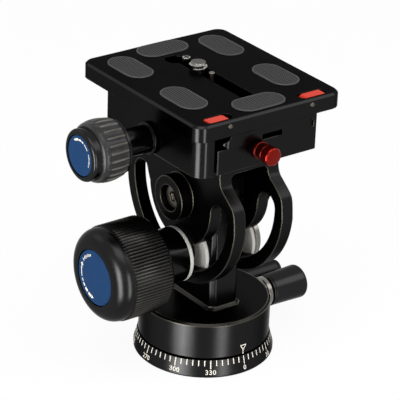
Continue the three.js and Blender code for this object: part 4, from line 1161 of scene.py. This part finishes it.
@dataclass
class Plate(Assembly):
    """The sliding quick-release plate with its pads, camera screw and red stops."""

    top: float = 102.05
    pad_length: float = 20
    pad_width: float = 10.5
    pad_proud: float = 0.3
    pad_recess: float = 0.85
    thread: float = 3.175
    thread_depth: float = 0.62
    thread_pitch: float = 1.27
    thread_flank: float = 0.36
    thread_turn: float = 200
    screw_face: float = 93.3
    screw_end: float = 104.6
    stop_screw_y: float = 18
    twist_pin: Profile = (
        (0, 96.35), (0.7, 96.35), (0.7, 102.8), (1.05, 102.8), (1.05, 103.2), (0.85, 103.4), (0, 103.4)
    )
    stop_screw: Profile = ((1.4, 0), (1.5, -0.15), (1.5, -0.9), (0.8, -0.9), (0.8, -3.05))

    def build(self) -> None:
        """Builds the plate from its body upwards."""
        body = copied("quick_release_plate")
        make_round(body, 2, (PLATE_X - 2.15, PLATE_Y + self.stop_screw_y, 0), (3.4,))
        bmesh.ops.connect_verts_concave(body, faces=body.faces)
        self.hand_over(body, "sliding_plate", "plate", POLISHED, "quick_release_plate", 0.16)
        for spot, x, y in (
            ("rear_left", -19.4, 20),
            ("rear_middle", 0, 28.4),
            ("rear_right", 19.4, 20),
            ("front_right", 19.4, -11.35),
            ("front_middle", 0, -27),
            ("front_left", -19.4, -11.35),
        ):
            place = Matrix.Translation((PLATE_X + x, PLATE_Y + y, self.top - self.pad_recess))
            node = f"pad_{spot}"
            self.hand_over(self.pad(not x), f"rubber_{node}", "plate", RUBBER, node, 0, place, more=[RUBBER_RIM])
        self.camera_screw()
        place = Matrix.Translation((PLATE_X, PLATE_Y - 0.7, 0))
        self.hand_over(turned(self.twist_pin, SMALL), "twist_stop", "twist_pin", DULL_STEEL, "anti_twist_pin", 0, place)
        made = screw(Recess.CROSS, 1.25, 0.8, self.stop_screw)
        place = Axis.UP.placed((PLATE_X + 2.85, PLATE_Y + self.stop_screw_y, self.top - 0.15))
        self.hand_over(made, "cross_screw", "plate", STEEL, "stop_screw", 0.04, place)
        self.stops()

    def pad(self, across: bool) -> Mesh:
        """Makes a pad with round ends and a narrow smooth rim round its sunken, textured middle.

        Args:
            across: Whether it lies across the plate.

        Returns:
            The pad's mesh.
        """
        mesh = bmesh.new()
        bmesh.ops.create_circle(mesh, cap_ends=True, segments=SMALL, radius=self.pad_width / 2)
        half_step = Matrix.Rotation(math.pi / SMALL, 3, "Z")
        bmesh.ops.rotate(mesh, cent=ORIGIN, matrix=half_step, verts=mesh.verts)
        side = 0 if across else 1
        for point in mesh.verts:
            point.co[side] += math.copysign((self.pad_length - self.pad_width) / 2, point.co[side])
        made = bmesh.ops.extrude_face_region(mesh, geom=mesh.faces[:], use_keep_orig=True)
        bmesh.ops.translate(mesh, vec=(0, 0, self.pad_proud + self.pad_recess), verts=only(Point, made))
        round_edges(mesh, list(only(Face, made)[0].edges), 0.14)
        mesh.faces.ensure_lookup_table()
        top = max(mesh.faces, key=lambda face: (round(face.calc_center_median().z, 3), face.calc_area()))
        for face in mesh.faces:
            face.material_index = 1
        bmesh.ops.inset_region(mesh, faces=[top], thickness=0.26, depth=-0.07, use_even_offset=True)
        top.material_index = 0
        bmesh.ops.recalc_face_normals(mesh, faces=mesh.faces)
        return mesh

    def camera_screw(self) -> None:
        """Builds the camera screw: a slotted head below, and the thread that stands out of the plate."""
        core, end = self.thread - self.thread_depth, self.screw_end
        foot, tip = self.screw_face - self.top - 0.3, self.screw_face - end
        profile = [(5, 0), (5, -2.9), (2.3, -2.9), (2.3, foot), (core, foot), (core, tip + 0.1), (core - 0.1, tip)]
        body = screw(Recess.SLOT, 4.2, 1.2, profile)
        bmesh.ops.transform(body, matrix=Axis.DOWN.placed((0, 0, self.screw_face)), verts=body.verts)
        append(body, self.ridge(core))
        # The end face takes the steel painted darker: painted shade.
        for face in body.faces:
            face.material_index = int(face.calc_center_median().z > end - 0.01)
        place = Matrix.Translation((PLATE_X, PLATE_Y + 7.2, 0))
        self.hand_over(body, "camera_thread", "screw", STEEL, "camera_screw", 0.06, place, more=[STEEL_END_PAINTED_SHADE])

    def ridge(self, core: float) -> Mesh:
        """Winds the ridge of the thread that stands out of the plate, chamfered at the screw's end.

        Args:
            core: Radius of the screw under the thread.

        Returns:
            The ridge's mesh.
        """
        mesh = bmesh.new()
        foot, half, end = core - 0.08, self.thread_flank * self.thread_pitch, self.screw_end
        low, high = self.top + 0.1 + half, end - 0.42
        section = [(foot, low - half), (self.thread, low - 0.05), (self.thread, low + 0.05), (foot, low + half)]
        points = [mesh.verts.new((radius, 0, height)) for radius, height in section]
        face = mesh.faces.new(points)
        turns = (high - low) / self.thread_pitch
        bmesh.ops.spin(
            mesh,
            geom=[*points, *face.edges, face],
            cent=ORIGIN,
            axis=(0, 0, 1),
            dvec=(0, 0, self.thread_pitch / SMALL),
            angle=math.tau * turns,
            steps=round(turns * SMALL),
        )
        turn = Matrix.Rotation(math.radians(self.thread_turn), 3, "Z")
        bmesh.ops.rotate(mesh, cent=ORIGIN, matrix=turn, verts=mesh.verts)
        for point in mesh.verts:
            point.co.z = min(point.co.z, end)
            widest = core + 0.15 + max(0.0, end - point.co.z)
            if point.co.xy.length > widest:
                scale_radius(point, widest / point.co.xy.length)
        return mesh

    def stops(self) -> None:
        """Builds the red stops and the steel pins that they flip on."""
        for side, hand in ((-1, "left"), (1, "right")):
            tab, node = copied(f"flip_stop_{hand}"), f"flip_stop_{hand}"
            bmesh.ops.connect_verts_concave(tab, faces=tab.faces)
            self.hand_over(tab, f"red_stop_{hand}", f"stop_{hand}", RED_PAINT, node, 0.22)
            place = Axis.FRONT.placed((PLATE_X + side * 17.15, PLATE_Y, 99.9))
            pin, node = rod(0.8, 27.3, 34.7, 0.12), f"flip_stop_pin_{hand}"
            self.hand_over(pin, f"stop_pin_{hand}", "plate", DULL_STEEL, node, 0, place)


def dress_inner_nodes() -> None:
    """Gives every CAD node that still shows the finish of its material slot."""
    finishes = {"black_anodised": BLASTED, "steel": STEEL, "brass": BRASS, "nylon": NYLON}
    for row in frame["record"]["subparts"]:
        node = frame["nodes"][row["node"]]
        if not node.hide_render:
            node.data.materials.clear()
            node.data.materials.append(finishes[row["material_slot"]].material())
            log.info("%s keeps its CAD mesh", row["node"])


@dataclass
class Studio:
    """The pale floor, the soft lights and the camera of a product photograph."""

    focal: float = 2252.13
    image: float = 400.0
    sensor: float = 36.0
    azimuth: float = -37.017
    elevation: float = 25.779
    roll: float = 2.132
    camera_place: Place = (-427.33, -561.89, 398.07)
    floor_colour: str = "ffffff"
    floor_glow: float = 0.93
    world_light: float = 0.32

    def build(self) -> None:
        """Builds the floor, the world, the lamps and the camera."""
        view = bpy.context.scene.view_settings
        view.view_transform = "Standard"
        self.floor()
        self.world()
        self.lamps()
        self.camera()

    def any_of(self, tree: Tree, tests: Sequence[Socket]) -> Socket:
        """Joins tests of a ray.

        Args:
            tree: The tree that gets the nodes.
            tests: Sockets with 0 or 1.

        Returns:
            A socket with 1 where one of them has 1.
        """
        held, *others = tests
        for other in others:
            held = add_node(tree, "Math", {"operation": "MAXIMUM"}, links={0: held, 1: other}).outputs[0]
        return held

    def floor(self) -> None:
        """Lays a wide round floor that keeps the object's soft shadow and can't be seen from below."""
        mesh = bmesh.new()
        bmesh.ops.create_circle(mesh, cap_ends=True, segments=ROUND, radius=6)
        bmesh.ops.translate(mesh, vec=(0, 0, -0.05 * MM), verts=mesh.verts)
        bmesh.ops.recalc_face_normals(mesh, faces=mesh.faces)
        if mesh.faces[:][0].normal.z < 0:
            bmesh.ops.reverse_faces(mesh, faces=mesh.faces)
        data = bpy.data.meshes.new("studio_floor")
        mesh.to_mesh(data)
        mesh.free()
        made = bpy.data.materials.new("pale_paper")
        made.use_nodes = True
        tree = made.node_tree
        shader = tree.nodes["Principled BSDF"]
        colour = linear(self.floor_colour)
        for name, value in (("Base Color", colour), ("Roughness", 0.9), ("Specular IOR Level", 0.0)):
            shader.inputs[name].default_value = value
        glow = add_node(tree, "Emission", values={"Color": colour, "Strength": 1.0}).outputs[0]
        path = add_node(tree, "LightPath").outputs
        seen = {0: path["Is Camera Ray"]}
        half = add_node(tree, "Math", {"operation": "MULTIPLY"}, {1: self.floor_glow}, seen).outputs[0]
        paper = add_node(tree, "MixShader", links={0: half, 1: shader.outputs[0], 2: glow}).outputs[0]
        clear = add_node(tree, "BsdfTransparent").outputs[0]
        back = add_node(tree, "NewGeometry").outputs["Backfacing"]
        through = self.any_of(tree, (path["Is Glossy Ray"], path["Is Transmission Ray"], back))
        whole = add_node(tree, "MixShader", links={0: through, 1: paper, 2: clear}).outputs[0]
        tree.links.new(whole, tree.nodes["Material Output"].inputs["Surface"])
        data.materials.append(made)
        link("studio_floor", data)

    def world(self) -> None:
        """Fills the room with soft light in front of a white background."""
        world = bpy.data.worlds.new("studio")
        world.use_nodes = True
        tree = world.node_tree
        tree.nodes.clear()
        path = add_node(tree, "LightPath").outputs
        seen = self.any_of(tree, [path[f"Is {kind} Ray"] for kind in ("Camera", "Glossy", "Transmission")])
        values = {"To Min": self.world_light, "To Max": 1.0}
        strength = add_node(tree, "MapRange", values=values, links={"Value": seen}).outputs["Result"]
        back = add_node(tree, "Background", values={"Color": (1, 1, 1, 1)}, links={"Strength": strength})
        add_node(tree, "OutputWorld", links={"Surface": back.outputs[0]})
        bpy.context.scene.world = world

    def lamps(self) -> None:
        """Hangs the soft boxes: two tall ones with bright middles, one above, and two that draw the upper edges."""
        target = Vector((0, 0, 0.05))
        for name, place, size, radiance in (
            ("left", (-0.95, -0.31, -0.12), (0.16, 1.0), 13.0),
            ("left wide", (-0.96, -0.31, -0.12), (0.58, 1.0), 11.5),
            ("front", (-0.08, -1.0, -0.12), (0.14, 1.0), 8.0),
            ("front wide", (-0.08, -1.01, -0.12), (0.34, 1.0), 6.5),
            ("above", (-0.25, -0.35, 1.0), (0.9, 0.6), 3.2),
            ("high right", (0.55, -0.5, 0.7), (0.5, 0.5), 2.6),
            ("high left", (-0.48, 0.7, 0.52), (0.4, 0.4), 1.2),
        ):
            lamp = bpy.data.lights.new(name, "AREA")
            lamp.shape = "RECTANGLE"
            lamp.size, lamp.size_y = size
            lamp.energy = radiance * math.pi * size[0] * size[1]
            holder = link(name, lamp)
            holder.location = place
            holder.rotation_euler = (target - holder.location).to_track_quat("-Z", "Y").to_euler()

    def camera(self) -> None:
        """Sets the camera where the photograph was taken from."""
        azimuth, elevation, roll = (math.radians(v) for v in (self.azimuth, self.elevation, self.roll))
        flat = math.cos(elevation)
        back = Vector((math.sin(azimuth) * flat, -math.cos(azimuth) * flat, math.sin(elevation)))
        level = Vector((math.cos(azimuth), math.sin(azimuth), 0))
        upright = back.cross(level)
        right = level * math.cos(roll) + upright * math.sin(roll)
        up = upright * math.cos(roll) - level * math.sin(roll)
        data = bpy.data.cameras.new("camera")
        data.sensor_width = self.sensor
        data.lens = self.focal * self.sensor / self.image
        data.clip_start = 0.01
        holder = link("camera", data)
        turn = Matrix((right, up, back)).transposed().to_4x4()
        holder.matrix_world = Matrix.Translation(Vector(self.camera_place) * MM) @ turn
        bpy.context.scene.camera = holder


def main() -> None:
    """Builds the head and the studio."""
    logging.basicConfig(level=logging.INFO, format="%(name)s: %(message)s")
    for assembly in (Base(), Drum(), Yoke(), TiltLock(), Clamp(), Plate()):
        assembly.build()
    dress_inner_nodes()
    Studio().build()


if __name__ == "__main__":
    main()
